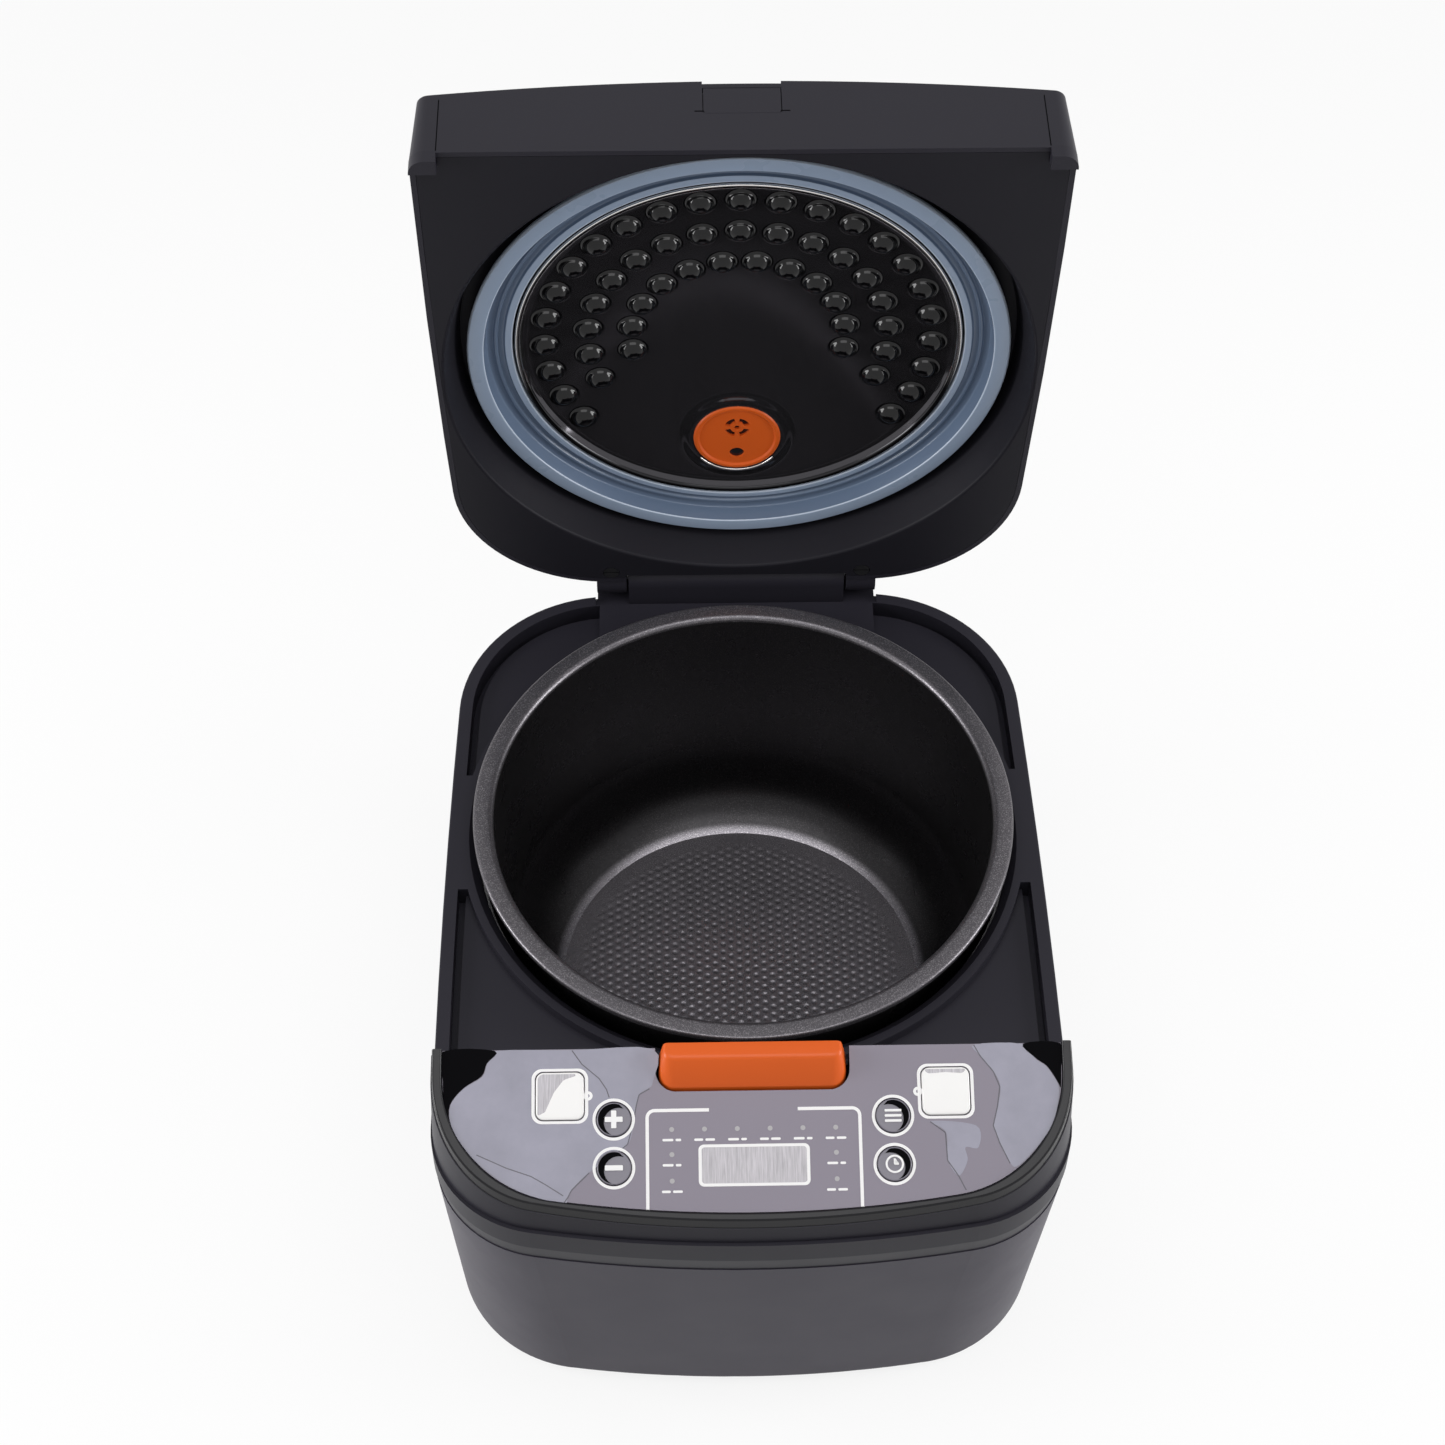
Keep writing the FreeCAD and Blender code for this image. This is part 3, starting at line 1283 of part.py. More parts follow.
def lining_hollow(grow):
    round_one = turned(lining_profile(grow))
    ahead = round_one.copy()
    ahead.translate(V(0, -RECESS_SHIFT, 0))
    ahead = ahead.common(box(-FAR, FAR, -FAR, FAR, 0, SEAL_SEAT_Z + grow))
    return round_one.fuse(ahead)


def lug_rooms():
    """Room in the lining's front corners for the roots of the lugs."""
    top = LID_Z + LUG_ROOT + LINING_GAP
    return both_sides(box(LUG_X - LINING_GAP, FAR, -FAR, LID_FRONT_Y + LUG_L + LINING_GAP, 0, top))


def lid_screw_places():
    return [(side * LID_SCREW_X, LID_SCREW_Y) for side in (-1, 1)]


def lid_inner_cover():
    inset = LID_WALL + LID_INSET + LINING_GAP
    flat = prism(lid_plan(LID_Z, inset), LINING_T)
    drawn_in = LID_DRAFT * (SEAL_SEAT_Z + LINING_T - LID_Z) / LID_LOFT_H
    limit = prism(lid_plan(LID_Z, inset + drawn_in), FAR)
    dish = lining_hollow(LINING_T).common(limit).cut(box(-FAR, FAR, -FAR, FAR, 0, LID_Z))
    cover = flat.fuse(dish).cut([lining_hollow(0), post(DUCT_R + DUCT_T + FIT, 0, FAR, 0, VENT_Y)])
    rear = box(-ARM_IN_X, ARM_IN_X, HINGE_Y - HINGE_R - HINGE_NOTCH, FAR, 0, FAR)
    high = box(-FAR, FAR, HINGE_Y - HINGE_WEB_Y - FIT, FAR, LID_Z + LINING_T, FAR)
    holes = [post(SCREW_R, 0, FAR, x, y) for x, y in lid_screw_places()]
    sinks = [post(SCREW_HEAD_R + FIT, 0, LID_Z + SCREW_HEAD_T, x, y) for x, y in lid_screw_places()]
    cover = cover.cut([rear, high] + holes + sinks + lug_rooms()).removeSplitter()
    return cover.makeFillet(RECESS_ROUND, [e for e in cover.Edges if on_recess_edge(e)])


def on_recess_edge(edge):
    """True for the edge of the round hollow in the lining's flat face."""
    spot = mid_point(edge)
    flat = abs(spot.z - LID_Z) < 0.01 and edge.BoundBox.ZLength < 0.01
    reach = [math.hypot(spot.x, spot.y + shift) for shift in (0, RECESS_SHIFT)]
    return flat and min(abs(r - RECESS_R) for r in reach) < 0.05


def lid_screws():
    seat_z = LID_Z + SCREW_HEAD_T
    length = LINING_T - SCREW_HEAD_T + LID_SCREW_L
    return [screw(x, y, seat_z, length, True) for x, y in lid_screw_places()]


def lid_seal():
    lip = POT_RIM_Z + SEAL_LIP_GAP
    profile = [
        (SEAL_OUT_R - 1.0, lip),
        (SEAL_OUT_R, lip + 1.2),
        (SEAL_OUT_R, lip + 2.6),
        (SEAL_OUT_R - 5.0, lip + 4.4),
        (SEAL_OUT_R - 5.0, SEAL_SEAT_Z),
        (SEAL_IN_R, SEAL_SEAT_Z),
        (SEAL_IN_R, DISH_RIM_Z - 2.6),
        (SEAL_IN_R + 1.4, DISH_RIM_Z - 3.6),
        (SEAL_IN_R + 4.6, DISH_RIM_Z - 3.6),
        (SEAL_IN_R + 6.2, DISH_RIM_Z - 1.6),
        (SEAL_IN_R + 9.4, DISH_RIM_Z - 2.6),
        (SEAL_IN_R + 11.6, lip + 3.4),
        (SEAL_IN_R + 13.6, lip),
    ]
    return turned(profile)


def dish_curve(offset):
    """Height of the inner plate's under face, as an arc that rises towards the middle."""
    low = DISH_RIM_Z + DISH_WALL_H + offset
    high = low + DISH_RISE
    radius = (DISH_WALL_R**2 + DISH_RISE**2) / (2 * DISH_RISE)
    return low, high, radius


def dish_height(r):
    low, high, radius = dish_curve(0)
    return high - (radius - math.sqrt(radius**2 - r**2))


def inner_plate():
    def p(r, z):
        return V(r, 0, z)

    low, high, _ = dish_curve(0)
    half = DISH_WALL_R / 2
    rim = DISH_RIM_Z
    under = Part.Arc(p(DISH_WALL_R, low), p(half, dish_height(half)), p(0, high)).toShape()
    over = Part.Arc(
        p(0, high + DISH_T), p(half, dish_height(half) + DISH_T), p(DISH_WALL_R, low + DISH_T)
    ).toShape()
    corners = [
        (DISH_WALL_R, low + DISH_T), (DISH_R, rim + DISH_T), (DISH_R, rim),
        (DISH_R - 1.6, rim), (DISH_WALL_R, low),
    ]
    edges = [under, Part.makeLine(p(0, high), p(0, high + DISH_T)), over]
    edges += [Part.makeLine(p(*a), p(*b)) for a, b in zip(corners, corners[1:])]
    dish = Part.Face(Part.Wire(Part.__sortEdges__(edges))).revolve(V(0, 0, 0), Z_AXIS, 360)
    ball_r = (BUMP_R**2 + BUMP_H**2) / (2 * BUMP_H)
    bumps = []
    for edge, count, step in BUMP_RINGS:
        radius = DISH_WALL_R - edge
        z = dish_height(radius)
        for k in range(count):
            a = math.radians(-90 + (k - (count - 1) / 2) * step)
            x, y = radius * math.cos(a), radius * math.sin(a)
            ball = Part.makeSphere(ball_r, V(x, y, z - BUMP_H + ball_r))
            bumps.append(ball.common(post(BUMP_R, z - 2 * BUMP_H, z + DISH_T / 2, x, y)))
    return dish.fuse(bumps).cut(post(DUCT_R + FIT, 0, FAR, 0, VENT_Y))


def vent_valve():
    """The steam valve's cap under the inner plate, with a ring of slots and a drain hole."""
    seat = dish_height(VENT_Y + VALVE_R)
    cap = post(VALVE_R, seat - VALVE_T, seat, 0, VENT_Y)
    rim = [e for e in cap.Edges if e.BoundBox.ZMax < seat - VALVE_T + 0.01]
    cap = cap.makeFillet(VALVE_ROUND, rim)
    stem = post(DUCT_R, seat - 1, LINING_TOP_Z - FIT, 0, VENT_Y)
    bore = post(DUCT_R - DUCT_T, seat - VALVE_T + VALVE_ROUND, FAR, 0, VENT_Y)
    drain = post(VALVE_HOLE_R, 0, FAR, 0, VENT_Y + VALVE_R / 2)
    return cap.fuse(stem).cut([bore, drain]).removeSplitter()


def steam_duct():
    top = placed(box(-FAR, FAR, -FAR, FAR, -COVER_T - LID_WALL - FIT, FAR), VENT)
    low = LINING_TOP_Z - FIT
    tube = post(DUCT_R + DUCT_T, low, LID_TOP_Z, 0, VENT_Y).cut(post(DUCT_R, 0, FAR, 0, VENT_Y))
    return tube.cut(top)


def steam_cap():
    disc = post(CAP_R, -COVER_T + FIT, CAP_RISE)
    rim = [e for e in disc.Edges if e.BoundBox.ZMin > CAP_RISE - 0.01]
    disc = disc.makeFillet(CAP_RISE * 0.6, rim)
    plug = post(CAP_PLUG_R, -COVER_T - CAP_PLUG_L, 0).cut(post(CAP_PLUG_R - DUCT_T, -FAR, -COVER_T))
    slots = []
    for k in range(CAP_SLOT_COUNT):
        x = (k - (CAP_SLOT_COUNT - 1) / 2) * (CAP_PLUG_R / 3)
        slots.append(box(x - DUCT_T / 2, x + DUCT_T / 2, -CAP_PLUG_R / 2, CAP_PLUG_R / 2, -FAR, FAR))
    return placed(disc.fuse(plug).cut(slots).removeSplitter(), VENT)


# Hinge pin and springs
def hinge_pin():
    return bar(HINGE_PIN_R, -ARM_OUT_X, ARM_OUT_X, HINGE_Y, HINGE_Z)


def hinge_springs():
    """Torsion springs round the pin; each has a leg that bears on the chamber's wall."""
    coils = []
    for start in (-TOWER_OPEN_X + 1, TOWER_OPEN_X - 1 - COIL_L):
        spring = coil(COIL_R, COIL_WIRE_R, COIL_TURNS, COIL_L)
        leg = Part.makeCylinder(COIL_WIRE_R, CHAMBER_R - COIL_R, V(COIL_R, 0, COIL_WIRE_R), X_AXIS)
        spring = spring.fuse(leg)
        spring.rotate(V(0, 0, 0), Y_AXIS, 90)
        spring.translate(V(start, HINGE_Y, HINGE_Z))
        coils.append(spring)
    return coils


BODY_NODES = [
    outer_housing, seam_ring, base_plate, rubber_feet, base_screws, power_inlet, inlet_pins,
    top_frame, console_bezel, panel_overlay, display_window, control_board, board_screws,
    display_module, indicator_leds, tact_switches, latch_button, latch_pin, latch_spring,
    inner_pot, heating_plate, heater_tube, inner_liner, liner_screws, side_heater_band,
    sensor_base, sensor_cap, sensor_spring, thermal_fuse, power_board, power_components,
    hinge_pin, hinge_springs,
]
LID_NODES = [
    lid_shell, lid_top_cover, lid_catch, lid_inner_cover, lid_screws, lid_seal, inner_plate,
    vent_valve, steam_duct, steam_cap,
]


def export(name, shape, placement):
    solids = shape if isinstance(shape, list) else [shape]
    solids = [placed(s, placement) for part in solids for s in part.Solids]
    whole = solids[0] if len(solids) == 1 else Part.makeCompound(solids)
    valid = "" if whole.isValid() else "  NOT VALID"
    print(f"{name}: {len(solids)} solid(s), {whole.Volume / 1000:.2f} cm3{valid}")
    whole.exportStep(f"parts/{name}.step")


def main():
    os.makedirs("parts", exist_ok=True)
    for make in BODY_NODES:
        export(make.__name__, make(), BODY_PLACE)
    for name, place in KEYS.items():
        export(name, key(*place), BODY_PLACE)
    open_place = BODY_PLACE.multiply(LID_SWING)
    for make in LID_NODES:
        export(make.__name__, make(), open_place)


main()
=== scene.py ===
import json
import math
import bmesh
import bpy
import numpy as np
from mathutils import Matrix, Vector


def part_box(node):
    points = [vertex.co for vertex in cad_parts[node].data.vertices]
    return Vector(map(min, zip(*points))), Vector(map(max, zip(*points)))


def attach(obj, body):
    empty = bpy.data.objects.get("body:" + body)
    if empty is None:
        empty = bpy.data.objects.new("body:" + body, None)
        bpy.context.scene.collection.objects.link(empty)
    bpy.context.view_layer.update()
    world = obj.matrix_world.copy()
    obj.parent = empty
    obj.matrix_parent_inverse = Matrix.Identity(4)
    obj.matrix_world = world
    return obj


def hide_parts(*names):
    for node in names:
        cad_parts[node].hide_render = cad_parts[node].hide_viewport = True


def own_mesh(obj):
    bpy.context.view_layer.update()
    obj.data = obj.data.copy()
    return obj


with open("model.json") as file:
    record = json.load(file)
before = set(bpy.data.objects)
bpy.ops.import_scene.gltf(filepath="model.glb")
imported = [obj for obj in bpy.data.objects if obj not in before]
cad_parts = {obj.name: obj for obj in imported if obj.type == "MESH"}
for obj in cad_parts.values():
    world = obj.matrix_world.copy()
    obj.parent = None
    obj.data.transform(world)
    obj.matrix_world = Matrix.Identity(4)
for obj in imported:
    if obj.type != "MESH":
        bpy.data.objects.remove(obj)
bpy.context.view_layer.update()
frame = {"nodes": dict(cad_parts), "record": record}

MM = 0.001


def middle(node):
    """The middle of a CAD piece's box, in millimetres."""
    low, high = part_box(node)
    return (low + high) / (2 * MM)


# Places in millimetres about the pot's axis, and two tilts; pot and hinge are read from the frame
SHIFT_Y = middle("inner_pot").y
HINGE_Y = middle("hinge_pin").y - SHIFT_Y
HINGE_Z = middle("hinge_pin").z
LID_OPEN = math.radians(87)
CONSOLE_Y = -138.0
CONSOLE_Z = 207.2
CONSOLE_TILT = math.radians(20)
VENT_Y = 64.0
POT_FLOOR_Z = 50.0


def body_at(x, y, z):
    """A point about the pot's axis, in the frame's metres."""
    return (x * MM, (y + SHIFT_Y) * MM, z * MM)


def lid_at(x, y, z):
    """A point of the closed lid, swung open."""
    dy, dz = y - HINGE_Y, z - HINGE_Z
    c, s = math.cos(LID_OPEN), math.sin(LID_OPEN)
    return body_at(x, HINGE_Y + dy * c + dz * s, HINGE_Z - dy * s + dz * c)


def panel_at(u, v, w):
    """A point of the control panel: across, down from its rear edge, and up from its face."""
    c, s = math.cos(CONSOLE_TILT), math.sin(CONSOLE_TILT)
    return body_at(u, CONSOLE_Y - v * c - w * s, CONSOLE_Z - v * s + w * c)


# Shader helpers
MATS = {}
FLAKE_SCALE = 2600.0
COAT_ROUGH = 0.15
# Sockets of a mix node that mixes colours
MIX_COLOUR_A = 6
MIX_COLOUR_B = 7
MIX_COLOUR_OUT = 2


def new_material(name):
    """A new entry of MATS, as its node tree and its shader."""
    mat = bpy.data.materials.new(name)
    mat.use_nodes = True
    MATS[name] = mat
    return mat.node_tree, mat.node_tree.nodes["Principled BSDF"]


def add(tree, kind, **values):
    """A node with its options and plain inputs set; an input's spaces are written as underscores."""
    node = tree.nodes.new(kind)
    for key, value in values.items():
        if hasattr(node, key):
            setattr(node, key, value)
        else:
            node.inputs[key.replace("_", " ")].default_value = value
    return node


def object_coords(tree):
    return add(tree, "ShaderNodeTexCoord").outputs["Object"]


def noise(tree, scale, detail=3.0, stretch=(1, 1, 1)):
    mapping = add(tree, "ShaderNodeMapping")
    mapping.inputs["Scale"].default_value = stretch
    node = add(tree, "ShaderNodeTexNoise", Scale=scale, Detail=detail, Roughness=0.6)
    tree.links.new(object_coords(tree), mapping.inputs["Vector"])
    tree.links.new(mapping.outputs["Vector"], node.inputs["Vector"])
    return node.outputs["Fac"]


def ramp(tree, fac, low, high, start=0.3, end=0.7):
    node = add(tree, "ShaderNodeValToRGB")
    first, last = node.color_ramp.elements
    first.position, last.position = start, end
    first.color, last.color = low, high
    tree.links.new(fac, node.inputs["Fac"])
    return node.outputs["Color"]


def grey(v):
    return (v, v, v, 1.0)


def brighter(colour, k):
    return tuple(min(c * k, 1.0) for c in colour) + (1.0,)


def height_share(tree, low, high, **options):
    """0 below the low height and 1 above the high one, in millimetres at rest."""
    place = add(tree, "ShaderNodeSeparateXYZ")
    tree.links.new(object_coords(tree), place.inputs[0])
    share = add(tree, "ShaderNodeMapRange", From_Min=low * MM, From_Max=high * MM, **options)
    tree.links.new(place.outputs["Z"], share.inputs["Value"])
    return share.outputs["Result"]


def uneven_gloss(tree, shader, scale, rough, shine=0.02):
    gloss = ramp(tree, noise(tree, scale), grey(rough - shine), grey(rough + shine))
    tree.links.new(gloss, shader.inputs["Roughness"])


def bump(tree, shader, height, strength, distance):
    node = add(tree, "ShaderNodeBump", Strength=strength, Distance=distance)
    tree.links.new(height, node.inputs["Height"])
    tree.links.new(node.outputs["Normal"], shader.inputs["Normal"])


def surface(name, colour, rough, spread=0.03, cloud=9.0, grain=2200.0, depth=0.00002, spec=0.35,
            metallic=0.0, coat=0.0, stretch=(1, 1, 1), shine=0.02):
    """A finish with an uneven colour and sheen over a fine grain."""
    tree, shader = new_material(name)
    clouds = noise(tree, cloud, 4.0, stretch)
    tint = ramp(tree, clouds, brighter(colour, 1 - spread), brighter(colour, 1 + spread))
    tree.links.new(tint, shader.inputs["Base Color"])
    uneven_gloss(tree, shader, cloud * 3, rough, shine)
    shader.inputs["Specular IOR Level"].default_value = spec
    shader.inputs["Metallic"].default_value = metallic
    shader.inputs["Coat Weight"].default_value = coat
    shader.inputs["Coat Roughness"].default_value = COAT_ROUGH
    if depth > 0:
        bump(tree, shader, noise(tree, grain, 2.0), 0.2, depth)


def shaded_by_height(name, low_colour, high_colour, low, high, rough):
    """A metal that is brighter with height, in millimetres of the open lid; its dark low side is painted
    shade.
    """
    tree, shader = new_material(name)
    tint = ramp(tree, height_share(tree, low, high), (*low_colour, 1.0), (*high_colour, 1.0))
    tree.links.new(tint, shader.inputs["Base Color"])
    shader.inputs["Metallic"].default_value = 1.0
    uneven_gloss(tree, shader, 80.0, rough)


def flaked(tree, dark, bright):
    """A dark coat with fine bright metal flakes."""
    return ramp(tree, noise(tree, FLAKE_SCALE, 2.0), (dark, dark * 0.94, dark * 1.04, 1.0),
                (bright, bright * 0.95, bright, 1.0), 0.52, 0.74)


def speckled(name, dark, bright, rough, wall=None):
    """A non-stick coat, darker up the wall where wall gives (low, high, dark, bright); the darker wall is
    painted shade.
    """
    tree, shader = new_material(name)
    tint = flaked(tree, dark, bright)
    if wall:
        low, high, shaded_wall_dark, shaded_wall_bright = wall
        blend = add(tree, "ShaderNodeMix", data_type="RGBA")
        wall_shade_share = height_share(tree, low, high, interpolation_type="SMOOTHSTEP")
        tree.links.new(wall_shade_share, blend.inputs["Factor"])
        tree.links.new(tint, blend.inputs[MIX_COLOUR_A])
        tree.links.new(flaked(tree, shaded_wall_dark, shaded_wall_bright), blend.inputs[MIX_COLOUR_B])
        tint = blend.outputs[MIX_COLOUR_OUT]
    tree.links.new(tint, shader.inputs["Base Color"])
    shader.inputs["Metallic"].default_value = 0.75
    uneven_gloss(tree, shader, 60.0, rough)
    bump(tree, shader, noise(tree, FLAKE_SCALE, 2.0), 0.15, 0.00006)


# Plastics
surface("charcoal", (0.0185, 0.0174, 0.024), 0.42, spec=0.16)
surface("housing", (0.0465, 0.0418, 0.058), 0.42, spec=0.1)
surface("lining", (0.0115, 0.011, 0.0148), 0.48, spec=0.12)
surface("black", (0.006, 0.0057, 0.0075), 0.28, spec=0.25)
surface("gloss_black", (0.0015, 0.0014, 0.002), 0.5, spec=0.02)
surface("soft_black", (0.012, 0.012, 0.012), 0.8, grain=1200.0, depth=0.0001)
surface("orange", (0.67, 0.106, 0.0133), 0.32, spec=0.25)
# The round keys' grey is painted reflection, as on the panel
surface("key_grey", (0.165, 0.155, 0.188), 0.15, grain=1500.0, depth=0.00001)
surface("white", (0.82, 0.81, 0.8), 0.15, 0.02)

# Panel, its prints and the film on it; the panel's grey stands in for a black gloss panel, as painted
# reflection
surface("panel", (0.203, 0.181, 0.226), 0.25, 0.02, grain=1500.0, depth=0.00001, spec=0.3)
surface("print", (0.86, 0.85, 0.85), 0.4, 0.02, spec=0.1)
# Lavender film: a real sheet, its tone painted reflection
surface("film_and_reflection", (0.245, 0.24, 0.305), 0.15, 0.1, cloud=45.0, spec=0.4)
# Dark lines of painted shade in the film's creases
surface("crease_shade", (0.075, 0.07, 0.09), 0.2, 0.05)
# Grey streaks of painted reflection for the square keys
surface("clear", (0.46, 0.44, 0.47), 0.25, 0.25, cloud=300.0, stretch=(6, 0.3, 0.3))
surface("lcd", (0.4, 0.4, 0.4), 0.3)
surface("lamp", (0.36, 0.35, 0.36), 0.2)
surface("board", (0.02, 0.12, 0.04), 0.4, 0.2, grain=900.0)

# Seal, in one silicone with painted shade and painted highlights
surface("silicone", (0.32, 0.4, 0.53), 0.28, grain=900.0, coat=0.1)
surface("silicone_painted_shade", (0.125, 0.17, 0.25), 0.25, 0.05, grain=900.0, coat=0.1)
surface("silicone_painted_highlight", (0.5, 0.57, 0.68), 0.25, grain=900.0)

# Metals
surface("dark_metal", (0.056, 0.054, 0.06), 0.07, 0.05, depth=0.0, metallic=0.76, spec=0.5, shine=0.01)
surface("dark_bump", (0.003, 0.0029, 0.0035), 0.07, 0.1, depth=0.0, spec=0.3, shine=0.01)
# The plate's rim is dark at its low side, by the hinge: painted shade.
shaded_by_height("plate_rim", (0.03, 0.03, 0.032), (0.62, 0.61, 0.6), 282.0, 330.0, 0.12)
# The pot's wall goes dark above the floor's curve: painted shade on one coat.
speckled("coated_metal", 0.15, 0.56, 0.28, wall=(POT_FLOOR_Z, POT_FLOOR_Z + 2.3, 0.015, 0.06))
speckled("coated_rim", 0.085, 0.32, 0.34)
surface("steel", (0.55, 0.55, 0.56), 0.25, metallic=1.0)
surface("chrome", (0.75, 0.74, 0.73), 0.1, metallic=1.0, shine=0.03)
surface("dark_steel", (0.03, 0.03, 0.032), 0.4, metallic=0.6)
surface("aluminium", (0.6, 0.6, 0.61), 0.35, metallic=1.0)
surface("brass", (0.7, 0.55, 0.3), 0.25, metallic=1.0)

# CAD pieces take the finish of their slot, apart from these
FINISH = {"outer_housing": "housing", "lid_inner_cover": "lining", "lid_screws": "dark_steel"}
SLOTS = {part["node"]: part["material_slot"] for part in frame["record"]["subparts"]}
for name, obj in frame["nodes"].items():
    obj.data.materials.clear()
    obj.data.materials.append(MATS[FINISH.get(name, SLOTS[name])])


# Mesh helpers
def show(name, mesh, body, node=None):
    """A mesh as a piece that rides on a body and may stand for a CAD node."""
    obj = bpy.data.objects.new(name, mesh)
    bpy.context.collection.objects.link(obj)
    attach(obj, body)
    if node:
        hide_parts(node)
    return obj


def piece(name, verts, faces, mat, slot, body, place=body_at, node=None, smooth=True):
    """A new piece from points and faces."""
    mesh = bpy.data.meshes.new(name)
    mesh.from_pydata([place(*v) for v in verts], [], faces)
    mesh.materials.append(MATS[mat])
    mesh.polygons.foreach_set("use_smooth", [smooth] * len(mesh.polygons))
    return show(name, mesh, body, node)


def face_outwards(obj, weld=False):
    """Turns the faces outwards, after joining points that coincide where asked."""
    work = bmesh.new()
    work.from_mesh(obj.data)
    if weld:
        bmesh.ops.remove_doubles(work, verts=work.verts, dist=1e-7)
    bmesh.ops.recalc_face_normals(work, faces=work.faces)
    work.to_mesh(obj.data)
    work.free()


def keep_sharp(obj, angle):
    """Edges that bend by more than an angle in degrees stay crisp."""
    obj.data.set_sharp_from_angle(angle=math.radians(angle))


def modified(obj):
    """Gives a piece the mesh that its modifiers make, and takes them off."""
    shown = bpy.data.meshes.new_from_object(obj.evaluated_get(bpy.context.evaluated_depsgraph_get()))
    obj.modifiers.clear()
    obj.data = shown


def round_corners(points, steps=6, closed=True):
    """Corner points (a, b, radius) turned into a line with round corners."""
    out = []
    count = len(points)
    for k, (a, b, radius) in enumerate(points):
        if radius <= 0 or (not closed and k in (0, count - 1)):
            out.append((a, b))
            continue
        corner = Vector((a, b))
        before = Vector(points[k - 1][:2]) - corner
        after = Vector(points[(k + 1) % count][:2]) - corner
        angle = before.angle(after)
        reach = min(radius / math.tan(angle / 2), before.length * 0.49, after.length * 0.49)
        size = reach * math.tan(angle / 2)
        first = before.normalized()
        last = after.normalized()
        centre = corner + (first + last).normalized() * (size / math.sin(angle / 2))
        start, end = corner + first * reach - centre, corner + last * reach - centre
        sweep = start.angle(end)
        for i in range(steps + 1):
            t = i / steps
            spot = centre + (start * math.sin((1 - t) * sweep) + end * math.sin(t * sweep)) / math.sin(sweep)
            out.append((spot.x, spot.y))
    return out


def turned(name, profile, mat, slot, body, segments=256, closed=True, centre=(0.0, 0.0), relief=None,
           arc=None, **rest):
    """A profile of (radius, height) turned about an upright axis, all round or over an arc in degrees."""
    r = np.array([p[0] for p in profile])
    z = np.array([p[1] for p in profile])
    start, sweep = np.radians(arc or (0.0, 360.0))
    a = start + np.linspace(0, sweep, segments, endpoint=bool(arc))
    x = r[:, None] * np.cos(a)[None, :]
    y = r[:, None] * np.sin(a)[None, :]
    height = np.repeat(z[:, None], segments, axis=1)
    if relief is not None:
        height = height + relief(x, y)
    verts = np.stack([x + centre[0], y + centre[1], height], axis=-1).reshape(-1, 3).tolist()
    rows = len(profile)
    faces = []
    for i in range(rows if closed else rows - 1):
        j = (i + 1) % rows
        for k in range(segments - 1 if arc else segments):
            n = (k + 1) % segments
            faces.append((i * segments + k, i * segments + n, j * segments + n, j * segments + k))
    obj = piece(name, verts, faces, mat, slot, body, **rest)
    face_outwards(obj, weld=True)
    return obj


def add_skin(verts, faces, rings, ends=True):
    """Adds a skin over rings with equally many points, with closed ends where asked."""
    first = len(verts)
    count = len(rings[0])
    for ring in rings:
        verts.extend(ring)
    last = len(verts) - count
    for low in range(first, last, count):
        high = low + count
        for k in range(count):
            n = (k + 1) % count
            faces.append((low + k, low + n, high + n, high + k))
    if ends:
        faces.append(tuple(range(last, last + count)))
        faces.append(tuple(range(first, first + count))[::-1])


def add_block(verts, faces, across, along, heights):
    """Adds a plain block between two places each way."""
    (x0, x1), (y0, y1) = across, along
    corners = ((x0, y0), (x1, y0), (x1, y1), (x0, y1))
    add_skin(verts, faces, [[(x, y, z) for x, y in corners] for z in heights])


def flat(name, loops, mat, slot, body, place, lift, thick=0.04):
    """A thin raised print or sheet with the given outlines; later loops are holes."""
    curve = bpy.data.curves.new(name, "CURVE")
    curve.dimensions = "2D"
    curve.fill_mode = "BOTH"
    curve.extrude = thick / 2
    for loop in loops:
        spline = curve.splines.new("POLY")
        spline.points.add(len(loop) - 1)
        for point, (a, b) in zip(spline.points, loop):
            point.co = (a, b, 0, 1)
        spline.use_cyclic_u = True
    holder = bpy.data.objects.new(name, curve)
    mesh = bpy.data.meshes.new_from_object(holder)
    bpy.data.objects.remove(holder)
    verts = [(v.co.x, v.co.y, v.co.z + lift) for v in mesh.vertices]
    faces = [tuple(p.vertices) for p in mesh.polygons]
    bpy.data.meshes.remove(mesh)
    return piece(name, verts, faces, mat, slot, body, place=place, smooth=False)


def circle(cx, cy, radius, count=64):
    turns = [2 * math.pi * k / count for k in range(count)]
    return [(cx + radius * math.cos(a), cy + radius * math.sin(a)) for a in turns]


def square(cx, cy, half_x, half_y, radius):
    """A rectangle with round corners."""
    ways = ((-1, -1), (1, -1), (1, 1), (-1, 1))
    return round_corners([(cx + sx * half_x, cy + sy * half_y, radius) for sx, sy in ways], 8)


def sector(cx, cy, inner, outer, start, end, count=10):
    """A piece of a ring, from one angle to another in degrees."""
    turns = [math.radians(start + (end - start) * k / count) for k in range(count + 1)]
    loop = [(cx + outer * math.cos(a), cy + outer * math.sin(a)) for a in turns]
    return loop + [(cx + inner * math.cos(a), cy + inner * math.sin(a)) for a in turns[::-1]]


def ribbon(points, width, radius):
    """A line of constant width with round bends, as one outline."""
    path = [Vector(p) for p in round_corners([(a, b, radius) for a, b in points], 8, closed=False)]
    left, right = [], []
    for k, spot in enumerate(path):
        ahead = path[min(k + 1, len(path) - 1)] - path[max(k - 1, 0)]
        out = Vector((-ahead.y, ahead.x)).normalized() * (width / 2)
        left.append(tuple(spot + out))
        right.append(tuple(spot - out))
    return left + right[::-1]


